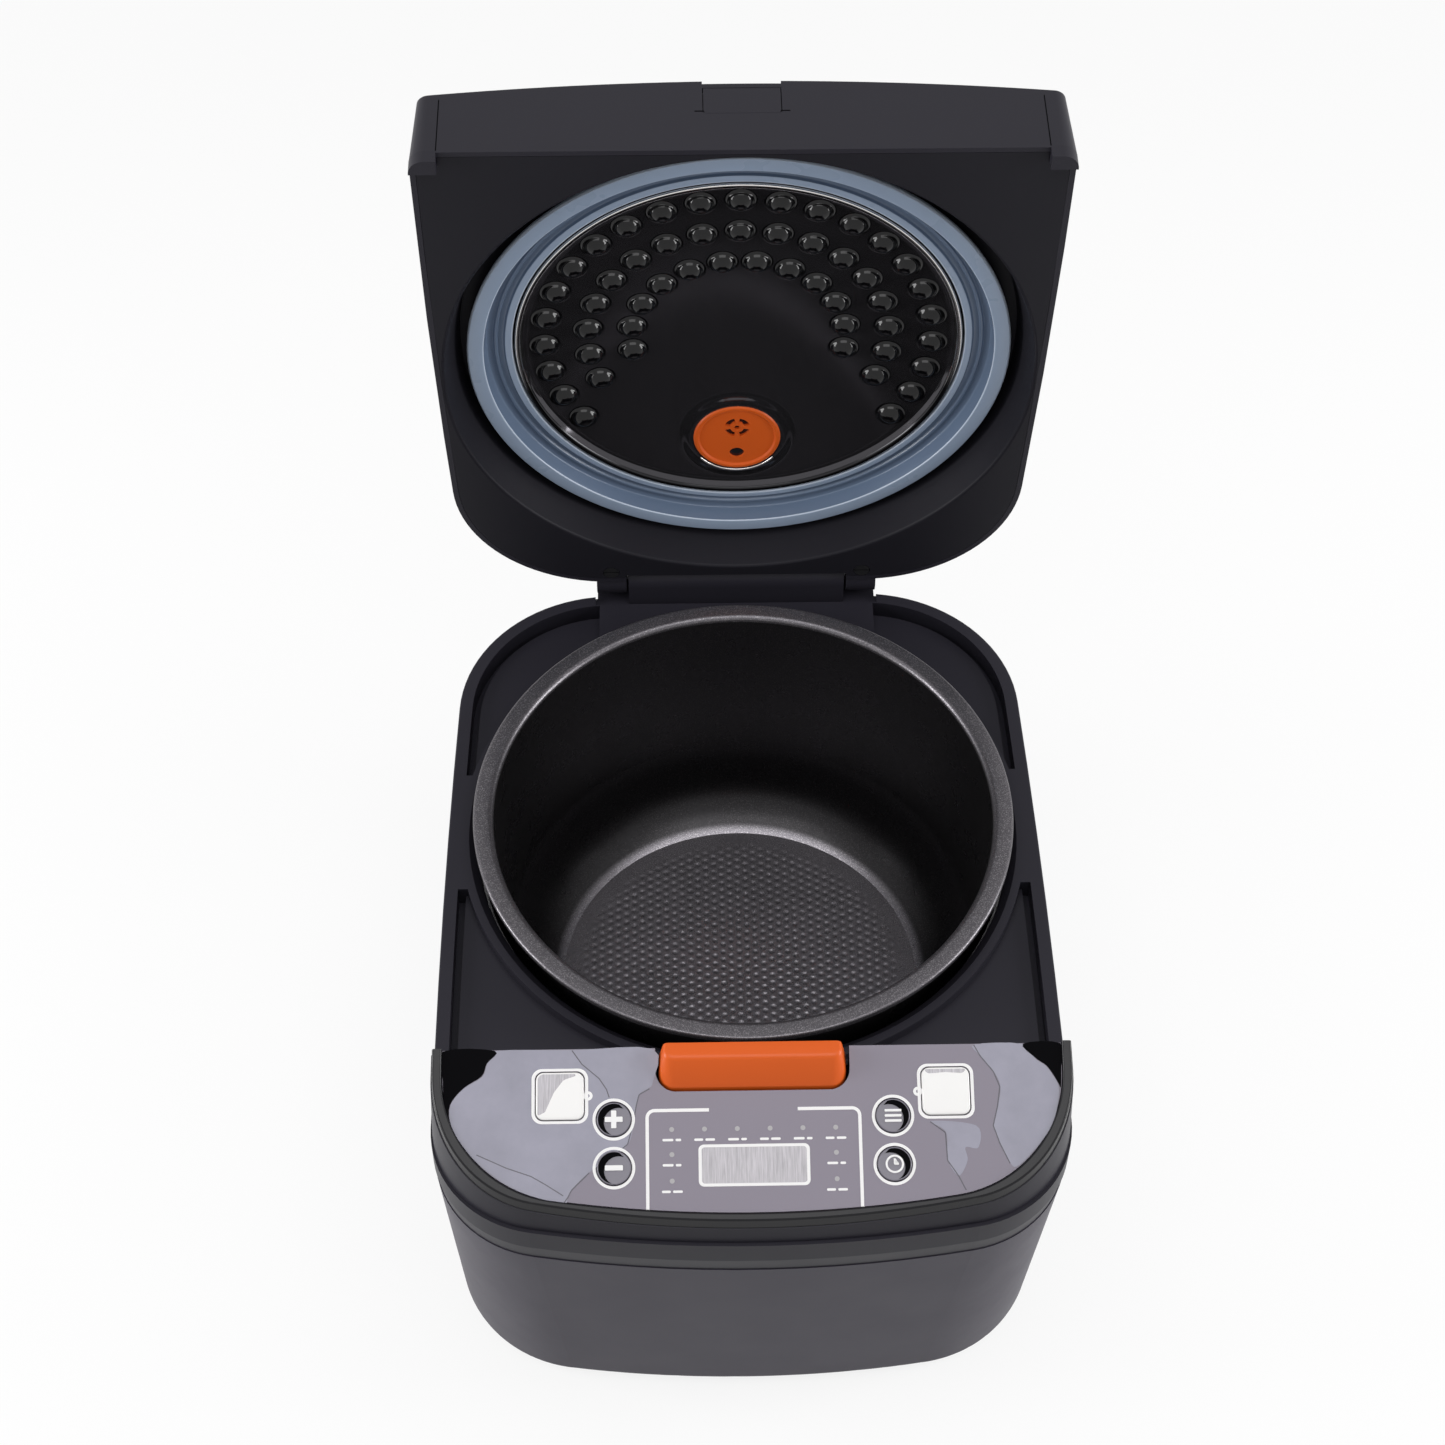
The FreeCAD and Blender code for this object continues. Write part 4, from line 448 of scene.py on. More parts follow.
def smooth_loop(points, steps):
    """A closed Catmull-Rom curve through points."""
    out = []
    count = len(points)
    for k in range(count):
        p0, p1, p2, p3 = (Vector(points[(k + d) % count]) for d in (-1, 0, 1, 2))
        for i in range(steps):
            t = i / steps
            spot = 0.5 * (2 * p1 + (p2 - p0) * t + (2 * p0 - 5 * p1 + 4 * p2 - p3) * t**2
                          + (3 * p1 - p0 - 3 * p2 + p3) * t**3)
            out.append(tuple(spot))
    return out


def inside_loop(spot, loop):
    """Whether a point lies in an outline, by counting the sides that it looks across."""
    hit = False
    for k in range(len(loop)):
        (x0, y0), (x1, y1) = loop[k - 1], loop[k]
        if (y0 > spot[1]) != (y1 > spot[1]) and spot[0] < (x1 - x0) * (spot[1] - y0) / (y1 - y0) + x0:
            hit = not hit
    return hit


def carve(obj, loops, place, low, high):
    """Cuts upright holes with the given outlines out of a piece."""
    for loop in loops:
        verts, faces = [], []
        add_skin(verts, faces, [[(a, b, z) for a, b in loop] for z in (low, high)])
        mesh = bpy.data.meshes.new("cutter")
        mesh.from_pydata([place(*v) for v in verts], [], faces)
        cutter = bpy.data.objects.new("cutter", mesh)
        bpy.context.collection.objects.link(cutter)
        face_outwards(cutter)
        job = obj.modifiers.new("cut", "BOOLEAN")
        job.operation = "DIFFERENCE"
        job.solver = "EXACT"
        job.object = cutter
        modified(obj)
        bpy.data.objects.remove(cutter)
    keep_sharp(obj, 40)


def softened(node, width, name, body, slot):
    """A copy of a CAD node with its hard edges rounded."""
    mesh = frame["nodes"][node].data.copy()
    mesh.name = name
    mesh.polygons.foreach_set("use_smooth", [True] * len(mesh.polygons))
    work = bmesh.new()
    work.from_mesh(mesh)
    bmesh.ops.remove_doubles(work, verts=work.verts, dist=1e-6)
    bmesh.ops.dissolve_limit(work, angle_limit=math.radians(0.6), verts=work.verts, edges=work.edges)
    work.to_mesh(mesh)
    work.free()
    obj = show(name, mesh, body, node)
    cut = obj.modifiers.new("edges", "BEVEL")
    cut.width = width * MM
    cut.segments = 3
    cut.limit_method = "ANGLE"
    cut.angle_limit = math.radians(28)
    cut.use_clamp_overlap = True
    even = obj.modifiers.new("shading", "WEIGHTED_NORMAL")
    even.mode = "FACE_AREA"
    even.weight = 50
    even.keep_sharp = False
    modified(obj)
    obj.data.materials.clear()
    obj.data.materials.append(MATS[slot])


# Pot with a dimpled floor, a wide curve up to its wall and a rolled rim
POT_FLOOR_R = 84.5
POT_CURVE_R = 40.0
POT_IN_R = 111.0
POT_OUT_R = 113.0
POT_UNDER_Z = 47.5
POT_UNDER_R = 60.0
POT_HEEL_R = 27.0
POT_WALL_Z = 120.0
POT_RIM_R = 120.0
POT_RIM_Z = 184.0
POT_RIM_T = 2.6
RIM_COAT_Z = 180.0
FLOOR_STEP = 0.5
DIMPLE_PITCH = 4.5
DIMPLE_R = 1.6
DIMPLE_DEPTH = 0.26
DIMPLES_END_R = 79.0
DIMPLES_FADE = 8.0

floor_radii = np.append(np.arange(0.0, POT_FLOOR_R - FLOOR_STEP, FLOOR_STEP), POT_FLOOR_R)
floor_line = [(r, POT_FLOOR_Z) for r in floor_radii]


def dimples(x, y):
    """Shallow dents on a hexagonal grid, fading out before the floor's edge."""
    row = DIMPLE_PITCH * math.sqrt(3) / 2
    nearest = np.full(x.shape, np.inf)
    for step in (-1, 0, 1):
        j = np.round(x / row) + step
        offset = (j % 2) * DIMPLE_PITCH / 2
        i = np.round((y - offset) / DIMPLE_PITCH)
        nearest = np.minimum(nearest, np.hypot(y - i * DIMPLE_PITCH - offset, x - j * row))
    dent = np.clip(1 - (nearest / DIMPLE_R) ** 2, 0, 1) ** 1.5
    fade = np.clip((DIMPLES_END_R - np.hypot(x, y)) / DIMPLES_FADE, 0, 1)
    relief = -DIMPLE_DEPTH * dent * fade
    relief[len(floor_line):, :] = 0
    return relief


curve_r = POT_IN_R - POT_CURVE_R
first_turn = math.asin((POT_FLOOR_R - curve_r) / POT_CURVE_R)
curve_z = POT_FLOOR_Z + POT_CURVE_R * math.cos(first_turn)
curve_turns = np.linspace(first_turn, math.pi / 2, 28)
curve_line = [(curve_r + POT_CURVE_R * math.sin(t), curve_z - POT_CURVE_R * math.cos(t)) for t in curve_turns]
rim_low = POT_RIM_Z - POT_RIM_T
rim_line = round_corners([
    (POT_IN_R, POT_WALL_Z, 0), (POT_IN_R, POT_RIM_Z, 2.6), (POT_RIM_R, POT_RIM_Z, 2.3),
    (POT_RIM_R, rim_low, 0.25), (POT_OUT_R, rim_low, 0.6), (POT_OUT_R, POT_UNDER_Z, POT_HEEL_R),
    (POT_UNDER_R, POT_UNDER_Z, 0),
], 12, closed=False)
pot_line = floor_line + curve_line + rim_line + [(0.0, POT_UNDER_Z)]
pot = turned("pot", pot_line, "coated_metal", "coated_metal", "pot", 720, closed=False, relief=dimples,
             node="inner_pot")
pot.data.materials.append(MATS["coated_rim"])
for face in pot.data.polygons:
    if face.center.z > RIM_COAT_Z * MM:
        face.material_index = 1
keep_sharp(pot, 15)

# Inner plate: a shallow dish with three arcs of round bumps
DISH_LOW = 194.6
DISH_RISE = 3.6
DISH_WALL_R = 94.0
DISH_END_R = 92.6
DISH_RADIUS = (DISH_WALL_R**2 + DISH_RISE**2) / (2 * DISH_RISE)
COLLAR_H = 1.5
COLLAR_R = 20.5
COLLAR_WIDTH = 7.0
COLLAR_HOLE_R = 19.0
BUMP_R = 5.9
BUMP_H = 4.2
BUMP_FOOT = 1.4
BUMP_PROUD = 0.02
BUMP_SIDES = 28
# Each row's radius, its count of bumps and their step in degrees
BUMP_ROWS = ((85.0, 23, 11.4), (66.0, 17, 14.0), (47.0, 12, 18.0))


def dish_height(r):
    return DISH_LOW + DISH_RISE - (DISH_RADIUS - math.sqrt(DISH_RADIUS**2 - r**2))


def vent_ring(x, y):
    """The pressed collar round the steam valve."""
    ring = np.hypot(x, y - VENT_Y)
    share = np.clip((ring - COLLAR_R) / COLLAR_WIDTH, 0, 1)
    swell = 0.5 + 0.5 * np.cos(math.pi * share)
    return -COLLAR_H * swell * (ring > COLLAR_HOLE_R)


def dome_profile():
    """A round bump with a soft foot, as (radius, height below the dish)."""
    ball = (BUMP_R**2 + BUMP_H**2) / (2 * BUMP_H)
    reach = math.asin(BUMP_R / ball) * 0.93
    turns = [reach * k / 9 for k in range(10)]
    line = [(ball * math.sin(t), BUMP_H - ball * (1 - math.cos(t))) for t in turns]
    edge_r, edge_h = line[-1]
    for share in (0.25, 0.5, 0.75, 1.0):
        line.append((edge_r + BUMP_FOOT * share, edge_h * (1 - share) ** 2))
    return line


def dome_ring(bx, by, radius, height):
    """One level of a bump that stands on the dish."""
    spots = circle(bx, by, radius, BUMP_SIDES)
    return [(x, y, dish_height(math.hypot(x, y)) - height - BUMP_PROUD) for x, y in spots]


plate_line = [(r, dish_height(r)) for r in np.arange(0.0, DISH_END_R, 1.0)]
plate_line += round_corners([
    (DISH_END_R, dish_height(DISH_END_R), 0), (94.4, 194.4, 0.8), (96.6, 191.6, 0.9), (98.2, 191.6, 0.7),
    (98.2, 193.6, 0),
], 6, closed=False)[1:]
turned("inner_plate_pressed", plate_line, "dark_metal", "dark_metal", "lid", 420, closed=False, place=lid_at,
       relief=vent_ring, node="inner_plate")
plate_rim = [(94.9, 192.0, 0.3), (95.9, 190.8, 0.6), (97.6, 190.8, 0.6), (98.3, 192.0, 0.3)]
turned("plate_rim", round_corners(plate_rim, 5), "plate_rim", "steel", "lid", place=lid_at)
dome = dome_profile()
verts, faces = [], []
for row_r, count, step in BUMP_ROWS:
    for k in range(count):
        turn = math.radians(-90 + (k - (count - 1) / 2) * step)
        bx, by = row_r * math.cos(turn), row_r * math.sin(turn)
        add_skin(verts, faces, [dome_ring(bx, by, r, h) for r, h in dome], ends=False)
face_outwards(piece("plate_bumps", verts, faces, "dark_bump", "dark_metal", "lid", place=lid_at), weld=True)

# Silicone seal with a lip, a groove and two ridges; its pale lip and edges are painted highlight, and its
# deep-toned groove is painted shade
SEAL_Z = 188.0
SEAL_CORNERS = [
    (118.6, 185.6, 0.5), (118.0, 184.6, 0.5), (111.4, 184.5, 0.6), (110.4, 192.2, 0.9), (107.4, 192.8, 0.5),
    (106.8, 191.9, 0.4), (105.6, 191.9, 0.4), (105.0, 192.9, 0.5), (102.9, 192.9, 0.6), (102.2, 191.4, 0.6),
    (99.0, 191.1, 0.6), (98.7, 194.5, 0.3), (113.4, 194.5, 0.5), (113.5, 189.0, 0.8), (118.6, 187.0, 0.4),
]
# Radii between which the seal takes painted shade, and those where it takes painted highlight
SEAL_SHADED = (102.2, 111.3)
SEAL_HIGHLIT = ((98.0, 99.6), (111.3, 111.8), (117.9, 120.0))

seal_line = round_corners(SEAL_CORNERS, 4)
seal = turned("seal", seal_line, "silicone", "silicone", "lid", place=lid_at, node="lid_seal")
seal.data.materials.append(MATS["silicone_painted_shade"])
seal.data.materials.append(MATS["silicone_painted_highlight"])
lid_middle = Vector(lid_at(0, 0, SEAL_Z))
lid_axis = (Vector(lid_at(0, 0, SEAL_Z + 1)) - lid_middle).normalized()
# Faces take painted shade or painted highlight by their radius
for face in seal.data.polygons:
    out = face.center - lid_middle
    reach = (out - lid_axis * out.dot(lid_axis)).length / MM
    if any(low <= reach < high for low, high in SEAL_HIGHLIT):
        face.material_index = 2
    elif SEAL_SHADED[0] < reach < SEAL_SHADED[1]:
        face.material_index = 1

# Steam valve under the plate: a rimmed orange disc with slots over a black ring of painted shade in its gap,
# and a bright ring below it
VALVE_R = 20.0
VALVE_FACE = dish_height(VENT_Y) - 2.4
VALVE_BACK = VALVE_FACE + 3.4
VALVE_SUNK = VALVE_FACE + 0.9
GAP_FLOOR = VALVE_BACK - 1.0
GAP_EDGE = VALVE_FACE + 0.8
RING_FACE = VALVE_FACE + 0.3
RING_ARC = (38.0, 104.0)
DISH_SLOPE = VENT_Y / DISH_RADIUS
SLOTS_Y = VENT_Y - 6.0
SLOT_IN_R = 3.1
SLOT_OUT_R = 5.9
SLOT_FROM = 13
SLOT_TO = 77
HUB_R = 1.3
HOLE_Y = VENT_Y + 10.5
HOLE_R = 3.4


def valve_at(x, y, z):
    """A point of the closed lid, tilted with the dish at the vent."""
    return lid_at(x, y, z + (VENT_Y - y) * DISH_SLOPE)


AT_VENT = dict(centre=(0.0, VENT_Y), place=valve_at)
valve_edge = round_corners([
    (12.0, VALVE_SUNK, 0), (17.0, VALVE_SUNK, 0.4), (17.9, VALVE_FACE, 0.5), (19.2, VALVE_FACE, 0.6),
    (VALVE_R, VALVE_SUNK, 0.6), (VALVE_R, VALVE_BACK, 0),
], 5, closed=False)
valve_line = [(0.0, VALVE_SUNK)] + valve_edge + [(0.0, VALVE_BACK)]
valve = turned("steam_valve", valve_line, "orange", "orange", "lid", 128, closed=False, node="vent_valve",
               **AT_VENT)
# A black ring of painted shade fills the gap round the valve
gap_edge = round_corners([
    (19.0, GAP_FLOOR, 0), (19.6, GAP_EDGE, 0.2), (21.0, GAP_EDGE, 0.3), (21.4, VALVE_BACK, 0),
], 3, closed=False)
turned("valve_gap_shade", [(0.0, GAP_FLOOR)] + gap_edge, "gloss_black", "black", "lid", 96, closed=False, **AT_VENT)
ring_edge = [(20.6, VALVE_BACK, 0.3), (20.7, RING_FACE, 0.4), (21.8, RING_FACE, 0.5), (22.8, VALVE_BACK, 0.3)]
turned("valve_ring", round_corners(ring_edge, 5), "chrome", "steel", "lid", 96, arc=RING_ARC, **AT_VENT)
slots = [
    sector(0, SLOTS_Y, SLOT_IN_R, SLOT_OUT_R, quarter + SLOT_FROM, quarter + SLOT_TO)
    for quarter in (0, 90, 180, 270)
]
slots.append(circle(0, SLOTS_Y, HUB_R, 16))
carve(valve, slots, valve_at, VALVE_FACE - 1.0, VALVE_BACK + 0.2)
carve(valve, [circle(0, HOLE_Y, HOLE_R, 32)], valve_at, VALVE_FACE - 1.0, VALVE_FACE + 3.0)

# Latch button, skinned between outlines at rising heights, with its hook and two legs
LATCH_HALF = 38.3
LATCH_REAR = -138.4
# Each outline's height, its inset, its front edge and its front corners' radius
LATCH_LEVELS = (
    (197.0, 0.0, -153.9, 7.0), (201.6, 0.0, -153.9, 7.0), (202.0, 0.1, -153.7, 7.0),
    (210.9, 1.9, -147.0, 6.0), (211.7, 2.3, -146.2, 5.6), (212.1, 2.9, -145.4, 5.2),
    (212.2, 3.6, -144.6, 5.0),
)
HOOK_HALF = 11.0
HOOK_Y = (LATCH_REAR - 1.0, LATCH_REAR + 0.2)
HOOK_Z = (208.5, 209.5)
LEGS_X = ((-32.0, -28.0), (28.0, 32.0))
LEG_Y = (-149.0, -141.0)
LEG_Z = (183.5, 198.0)


def latch_ring(z, inset, front, corner):
    half = LATCH_HALF - inset
    rear = LATCH_REAR - min(inset, 0.6)
    corners = [(-half, rear, 0.4), (-half, front, corner), (half, front, corner), (half, rear, 0.4)]
    return [(a, b, z) for a, b in round_corners(corners, 10)]


verts, faces = [], []
add_skin(verts, faces, [latch_ring(*level) for level in LATCH_LEVELS])
add_block(verts, faces, (-HOOK_HALF, HOOK_HALF), HOOK_Y, HOOK_Z)
for leg_x in LEGS_X:
    add_block(verts, faces, leg_x, LEG_Y, LEG_Z)
latch = piece("latch_cap", verts, faces, "orange", "orange", "latch", node="latch_button")
face_outwards(latch)
keep_sharp(latch, 60)

# Printed marks on the panel: rings, frames, border lines, and bars in place of words
KEYS = {"plus": (-56.6, 29.4), "minus": (-56.6, 49.1), "menu": (56.6, 29.4), "timer": (56.6, 49.1)}
SQUARES = {"cancel": -78.4, "start": 78.4}
SQUARE_V = 19.6
DISPLAY_V = 48.6
PRINT_LIFT = 0.07
KEY_HOLE_R = 7.4
KEY_RING_R = 8.6
TAB_OUT = 11.4
TAB_R = 1.9
TAB_HOLE_R = 0.7
# Half a width, half a height and a corner's radius
FRAME_OUTER = (11.5, 11.3, 4.2)
FRAME_INNER = (10.2, 10.2, 3.4)
DISPLAY_OUTER = (22.5, 8.5, 2.2)
DISPLAY_INNER = (21.2, 7.3, 1.2)
BORDER_U = (18.0, 43.1)
BORDER_V = (26.0, 66.0)
BORDER_WIDTH = 1.35
BORDER_BEND_R = 3.0
LED_R = 1.0
LED_U = 33.2
LED_ROW_V = 33.8
LED_SIDE_V = (44.0, 54.7)
LED_COUNT = 6
LABEL_DROP = 4.3
LABEL_HALF = 0.5
LABEL_CORNER_R = 0.45
# Two bars under each lamp, from one place to another across
LABEL_BARS = (((-3.8, 0.6), (1.5, 3.8)), ((-4.2, -0.6), (0.3, 4.2)))


def on_panel(name, loops, mat, slot, lift, thick=0.04, body="base"):
    """A thin print or sheet on the panel or on a key."""
    flat(name, loops, mat, slot, body, panel_at, lift, thick)


def printed(name, loops, lift=PRINT_LIFT):
    on_panel(name, loops, "print", "white", lift)


for name, (u, v) in KEYS.items():
    printed("ring_" + name, [circle(u, v, KEY_RING_R), circle(u, v, KEY_HOLE_R)])
for name, u in SQUARES.items():
    tab_u = u - math.copysign(TAB_OUT, u)
    tab = [circle(tab_u, SQUARE_V, TAB_R, 32), circle(tab_u, SQUARE_V, TAB_HOLE_R, 24)]
    printed("frame_" + name, [square(u, SQUARE_V, *FRAME_OUTER), square(u, SQUARE_V, *FRAME_INNER)])
    printed("tab_" + name, tab, PRINT_LIFT + 0.01)
printed("display_frame", [square(0, DISPLAY_V, *DISPLAY_OUTER), square(0, DISPLAY_V, *DISPLAY_INNER)])
for side, name in ((-1, "left"), (1, "right")):
    inner_u, outer_u = (side * u for u in BORDER_U)
    line = [(inner_u, BORDER_V[0]), (outer_u, BORDER_V[0]), (outer_u, BORDER_V[1])]
    printed("border_" + name, [ribbon(line, BORDER_WIDTH, BORDER_BEND_R)])
led_step = 2 * LED_U / (LED_COUNT - 1)
leds = [(-LED_U + led_step * k, LED_ROW_V) for k in range(LED_COUNT)]
leds += [(side * LED_U, v) for side in (-1, 1) for v in LED_SIDE_V]
for k, (u, v) in enumerate(leds):
    on_panel("lamp_dot_%d" % k, [circle(u, v, LED_R, 24)], "lamp", "lamp", PRINT_LIFT)
    for i, (start, end) in enumerate(LABEL_BARS[k % 2]):
        middle_u = u + (start + end) / 2
        bar = square(middle_u, v + LABEL_DROP, (end - start) / 2, LABEL_HALF, LABEL_CORNER_R)
        printed("label_%d_%d" % (k, i), [bar])

# Film left on the panel: sheets with holes for the keys, in a lavender tone of painted reflection; dark lines
# of painted shade in its creases; and the bare black corners
FILM_LIFT = 0.03
CREASE_LIFT = 0.04
CORNER_LIFT = 0.05
CREASE_WIDTH = 0.45
CREASE_BEND_R = 1.5
CREASE_T = 0.03
FILM_HOLE = (10.3, 10.3, 3.5)
FILM_LEFT = [
    (-40.5, 0.6), (-73, 0.6), (-104.9, 0.6), (-108, 5.9), (-110, 11.2), (-117.5, 16), (-122.7, 22.6),
    (-122.6, 30), (-119.2, 37), (-112, 46), (-102, 54), (-91, 59.5), (-77, 63.0), (-75.2, 60.5),
    (-73.6, 57.5), (-66.6, 50.7), (-58, 45), (-50.8, 39.5), (-48.5, 31), (-47.2, 23.6), (-46.3, 19.2),
    (-42.5, 16.8), (-40.6, 14.0),
]
FILM_RIGHT = [
    (90.8, 0.6), (93.3, 5.4), (98.3, 11.8), (100.7, 18.1), (99.4, 26.1), (97.3, 34), (99.6, 41.1),
    (103.4, 49.5), (106.5, 50.5), (114, 43.5), (119.8, 36), (123.2, 28), (124.6, 19), (122.5, 14.0),
    (119.7, 9.9), (115.4, 6.7), (110.6, 0.6),
]
FILM_SPOT = [
    (71.8, 31.9), (77.8, 36.4), (78.2, 47.9), (82.3, 54.1), (86.1, 48), (85.5, 42.7), (90.7, 42.8),
    (90.2, 33.9),
]
BARE_CORNERS = {
    "left": [
        (-104.9, 0.5), (-126, 0.5), (-126, 12), (-125.2, 22), (-123.2, 29.5), (-122.9, 22.6), (-117.5, 15.8),
        (-110.2, 11), (-108.2, 5.9),
    ],
    "right": [
        (110.8, 0.5), (126, 0.5), (126, 10), (125.4, 18.5), (124.4, 17), (122.7, 13.8), (119.9, 9.7),
        (115.6, 6.5),
    ],
}
CREASES = {
    "left_edge": [(-42.0, 17.0), (-46.3, 19.4), (-47.4, 23.6), (-48.7, 31), (-51.0, 39.5), (-58, 45.2)],
    "left_foot": [(-66.6, 50.9), (-73.6, 57.7), (-75.2, 60.7), (-77, 63.2)],
    "left_fold": [(-73.5, 0.8), (-69.5, 6.5), (-62.5, 12.5), (-59.5, 17.0), (-58.4, 20.4)],
    "left_low": [(-112, 43.0), (-100, 48.5), (-90, 52.0), (-84, 55.5), (-77, 60.0)],
    "right_edge": [
        (90.6, 0.8), (93.1, 5.4), (98.1, 11.8), (100.5, 18.1), (99.2, 26.1), (97.1, 34), (99.4, 41.1),
        (103.2, 49.5),
    ],
    "right_spot": [(71.6, 32.1), (77.6, 36.6), (78.0, 47.9), (82.3, 54.4), (85.0, 60.0)],
}


def with_holes(loop):
    """A film outline with the holes that keys need."""
    holes = [circle(u, v, KEY_HOLE_R) for u, v in KEYS.values()]
    holes += [square(u, SQUARE_V, *FILM_HOLE) for u in SQUARES.values()]
    return [loop] + [hole for hole in holes if inside_loop(hole[0], loop)]


# Dark creases of painted shade, then the films in painted reflection
for name, line in CREASES.items():
    crease = ribbon(line, CREASE_WIDTH, CREASE_BEND_R)
    on_panel("crease_" + name, [crease], "crease_shade", "panel", CREASE_LIFT, CREASE_T)
on_panel("film_left", with_holes(smooth_loop(FILM_LEFT, 4)), "film_and_reflection", "panel", FILM_LIFT)
on_panel("film_right", with_holes(smooth_loop(FILM_RIGHT, 4)), "film_and_reflection", "panel", FILM_LIFT)
on_panel("film_spot", [smooth_loop(FILM_SPOT, 6)], "film_and_reflection", "panel", FILM_LIFT)
for side, outline in BARE_CORNERS.items():
    on_panel("corner_" + side, [smooth_loop(outline, 4)], "gloss_black", "black", CORNER_LIFT)

# Round keys: dished caps on flanges and stems, with a dark sickle of painted shade and a generic mark
KEY_SEAT = -3.6
KEY_FLANGE = -4.6
KEY_FOOT = -9.0
KEY_FLANGE_OUT = 2.2
STEM_R = 2.2
ROUND_R = 6.9
SICKLE_R = 6.4
SICKLE_LIFT = 0.36
SICKLE_T = 0.3
MARK_LIFT = 0.4
MARK_T = 0.36
MARK_HALF = 3.6
MARK_STROKE = 1.05
MARK_CORNER_R = 0.3
MENU_BAR = (3.4, 0.5, 0.3)
MENU_STEP = 2.1
CLOCK_R = 3.7
CLOCK_IN_R = 2.9
CLOCK_UP = 2.2
CLOCK_ACROSS = 1.6
CLOCK_HAND = 0.7
SICKLE_INNER = 0.92
# How far a sickle's inner side is shifted, and the angles in degrees between which it lies
SICKLE_LEFT = ((1.9, 1.2), 100, 290)
SICKLE_RIGHT = ((-1.7, 1.2), -110, 60)


def sickle(u, v, shift, start, end):
    """The dark shade inside a round key."""
    turns = [math.radians(start + (end - start) * k / 24) for k in range(25)]
    inner_r = SICKLE_R * SICKLE_INNER
    outer = [(u + SICKLE_R * math.cos(a), v + SICKLE_R * math.sin(a)) for a in turns]
    inner = [(u + shift[0] + inner_r * math.cos(a), v + shift[1] + inner_r * math.sin(a)) for a in turns]
    return outer + inner[::-1]


def key_marks(name, u, v):
    """Each mark's name, outlines and thickness."""
    level = square(u, v, MARK_HALF, MARK_STROKE, MARK_CORNER_R)
    upright = square(u, v, MARK_STROKE, MARK_HALF, MARK_CORNER_R)
    if name == "plus":
        return [("plus_a", [level], MARK_T), ("plus_b", [upright], MARK_T + 0.01)]
    if name == "minus":
        return [("minus_a", [level], MARK_T)]
    if name == "menu":
        bars = [square(u, v + MENU_STEP * (k - 1), *MENU_BAR) for k in range(3)]
        return [("menu_%d" % k, [bar], MARK_T) for k, bar in enumerate(bars)]
    clock = [circle(u, v, CLOCK_R, 48), circle(u, v, CLOCK_IN_R, 48)]
    hands = ribbon([(u, v - CLOCK_UP), (u, v), (u + CLOCK_ACROSS, v)], CLOCK_HAND, 0.2)
    return [("timer_a", clock, MARK_T), ("timer_b", [hands], MARK_T)]


cap_edge = [(5.6, 0.34, 0), (6.5, 0.5, 0.2), (ROUND_R, 0.3, 0.15), (ROUND_R, KEY_SEAT, 0)]
flange_r = ROUND_R + KEY_FLANGE_OUT
cap_line = [(0.0, 0.18), (2.0, 0.19), (4.0, 0.24)] + round_corners(cap_edge, 4, closed=False)
cap_line += [(flange_r, KEY_SEAT), (flange_r, KEY_FLANGE)]
cap_line += [(STEM_R, KEY_FLANGE), (STEM_R, KEY_FOOT), (0.0, KEY_FOOT)]
for name, (u, v) in KEYS.items():
    body = name + "_key"
    cap = turned("cap_" + name, cap_line, "key_grey", "key_grey", body, 96, closed=False, centre=(u, v),
                 place=panel_at, node=name + "_button")
    keep_sharp(cap, 50)
    shade = sickle(u, v, *(SICKLE_LEFT if u < 0 else SICKLE_RIGHT))
    on_panel("shade_" + name, [shade], "gloss_black", "black", SICKLE_LIFT, SICKLE_T, body)
    for mark, loops, thick in key_marks(name, u, v):
        on_panel("mark_" + mark, loops, "print", "white", MARK_LIFT, thick, body)

# Square keys: soft caps on flanges and feet, with a grey patch of painted reflection
SQUARE_HALF = 9.7
# Each outline's height and its inset, from the foot up
SQUARE_LEVELS = (
    (KEY_FOOT, 7.5), (KEY_FLANGE, 7.5), (KEY_FLANGE, -KEY_FLANGE_OUT), (KEY_SEAT, -KEY_FLANGE_OUT),
    (KEY_SEAT, 0.0), (0.1, 0.0), (0.3, 0.12), (0.42, 0.5), (0.48, 1.4), (0.5, 4.0),
)
REFLECTION_PATCHES = {
    "cancel": [
        (-9.0, -9.0, 2.4), (9.0, -9.0, 0.5), (1.5, -6.6, 3.0), (-2.4, -1.5, 3.0), (-6.0, 6.5, 1.0),
        (-9.0, 8.0, 0.5),
    ],
    "start": [(-9.0, -9.0, 1.5), (9.0, -9.0, 1.5), (7.0, -7.2, 2.0), (0.0, -7.7, 2.0), (-7.0, -7.2, 2.0)],
}
REFLECTION_LIFT = 0.5
REFLECTION_T = 0.06


def square_ring(u, w, inset):
    half = SQUARE_HALF - inset
    corner = max(min(3.2 - inset * 0.5, half * 0.6), 0.4)
    return [(a, b, w) for a, b in square(u, SQUARE_V, half, half, corner)]


for name, u in SQUARES.items():
    body = name + "_key"
    verts, faces = [], []
    add_skin(verts, faces, [square_ring(u, w, inset) for w, inset in SQUARE_LEVELS])
    cap = piece("cap_" + name, verts, faces, "white", "white", body, place=panel_at, node=name + "_button")
    face_outwards(cap)
    keep_sharp(cap, 50)
    # A grey patch of painted reflection on each key
    reflection_patch = [(u + a, SQUARE_V + b) for a, b in round_corners(REFLECTION_PATCHES[name], 5)]
    on_panel("gloss_" + name, [reflection_patch], "clear", "key_grey", REFLECTION_LIFT, REFLECTION_T, body)

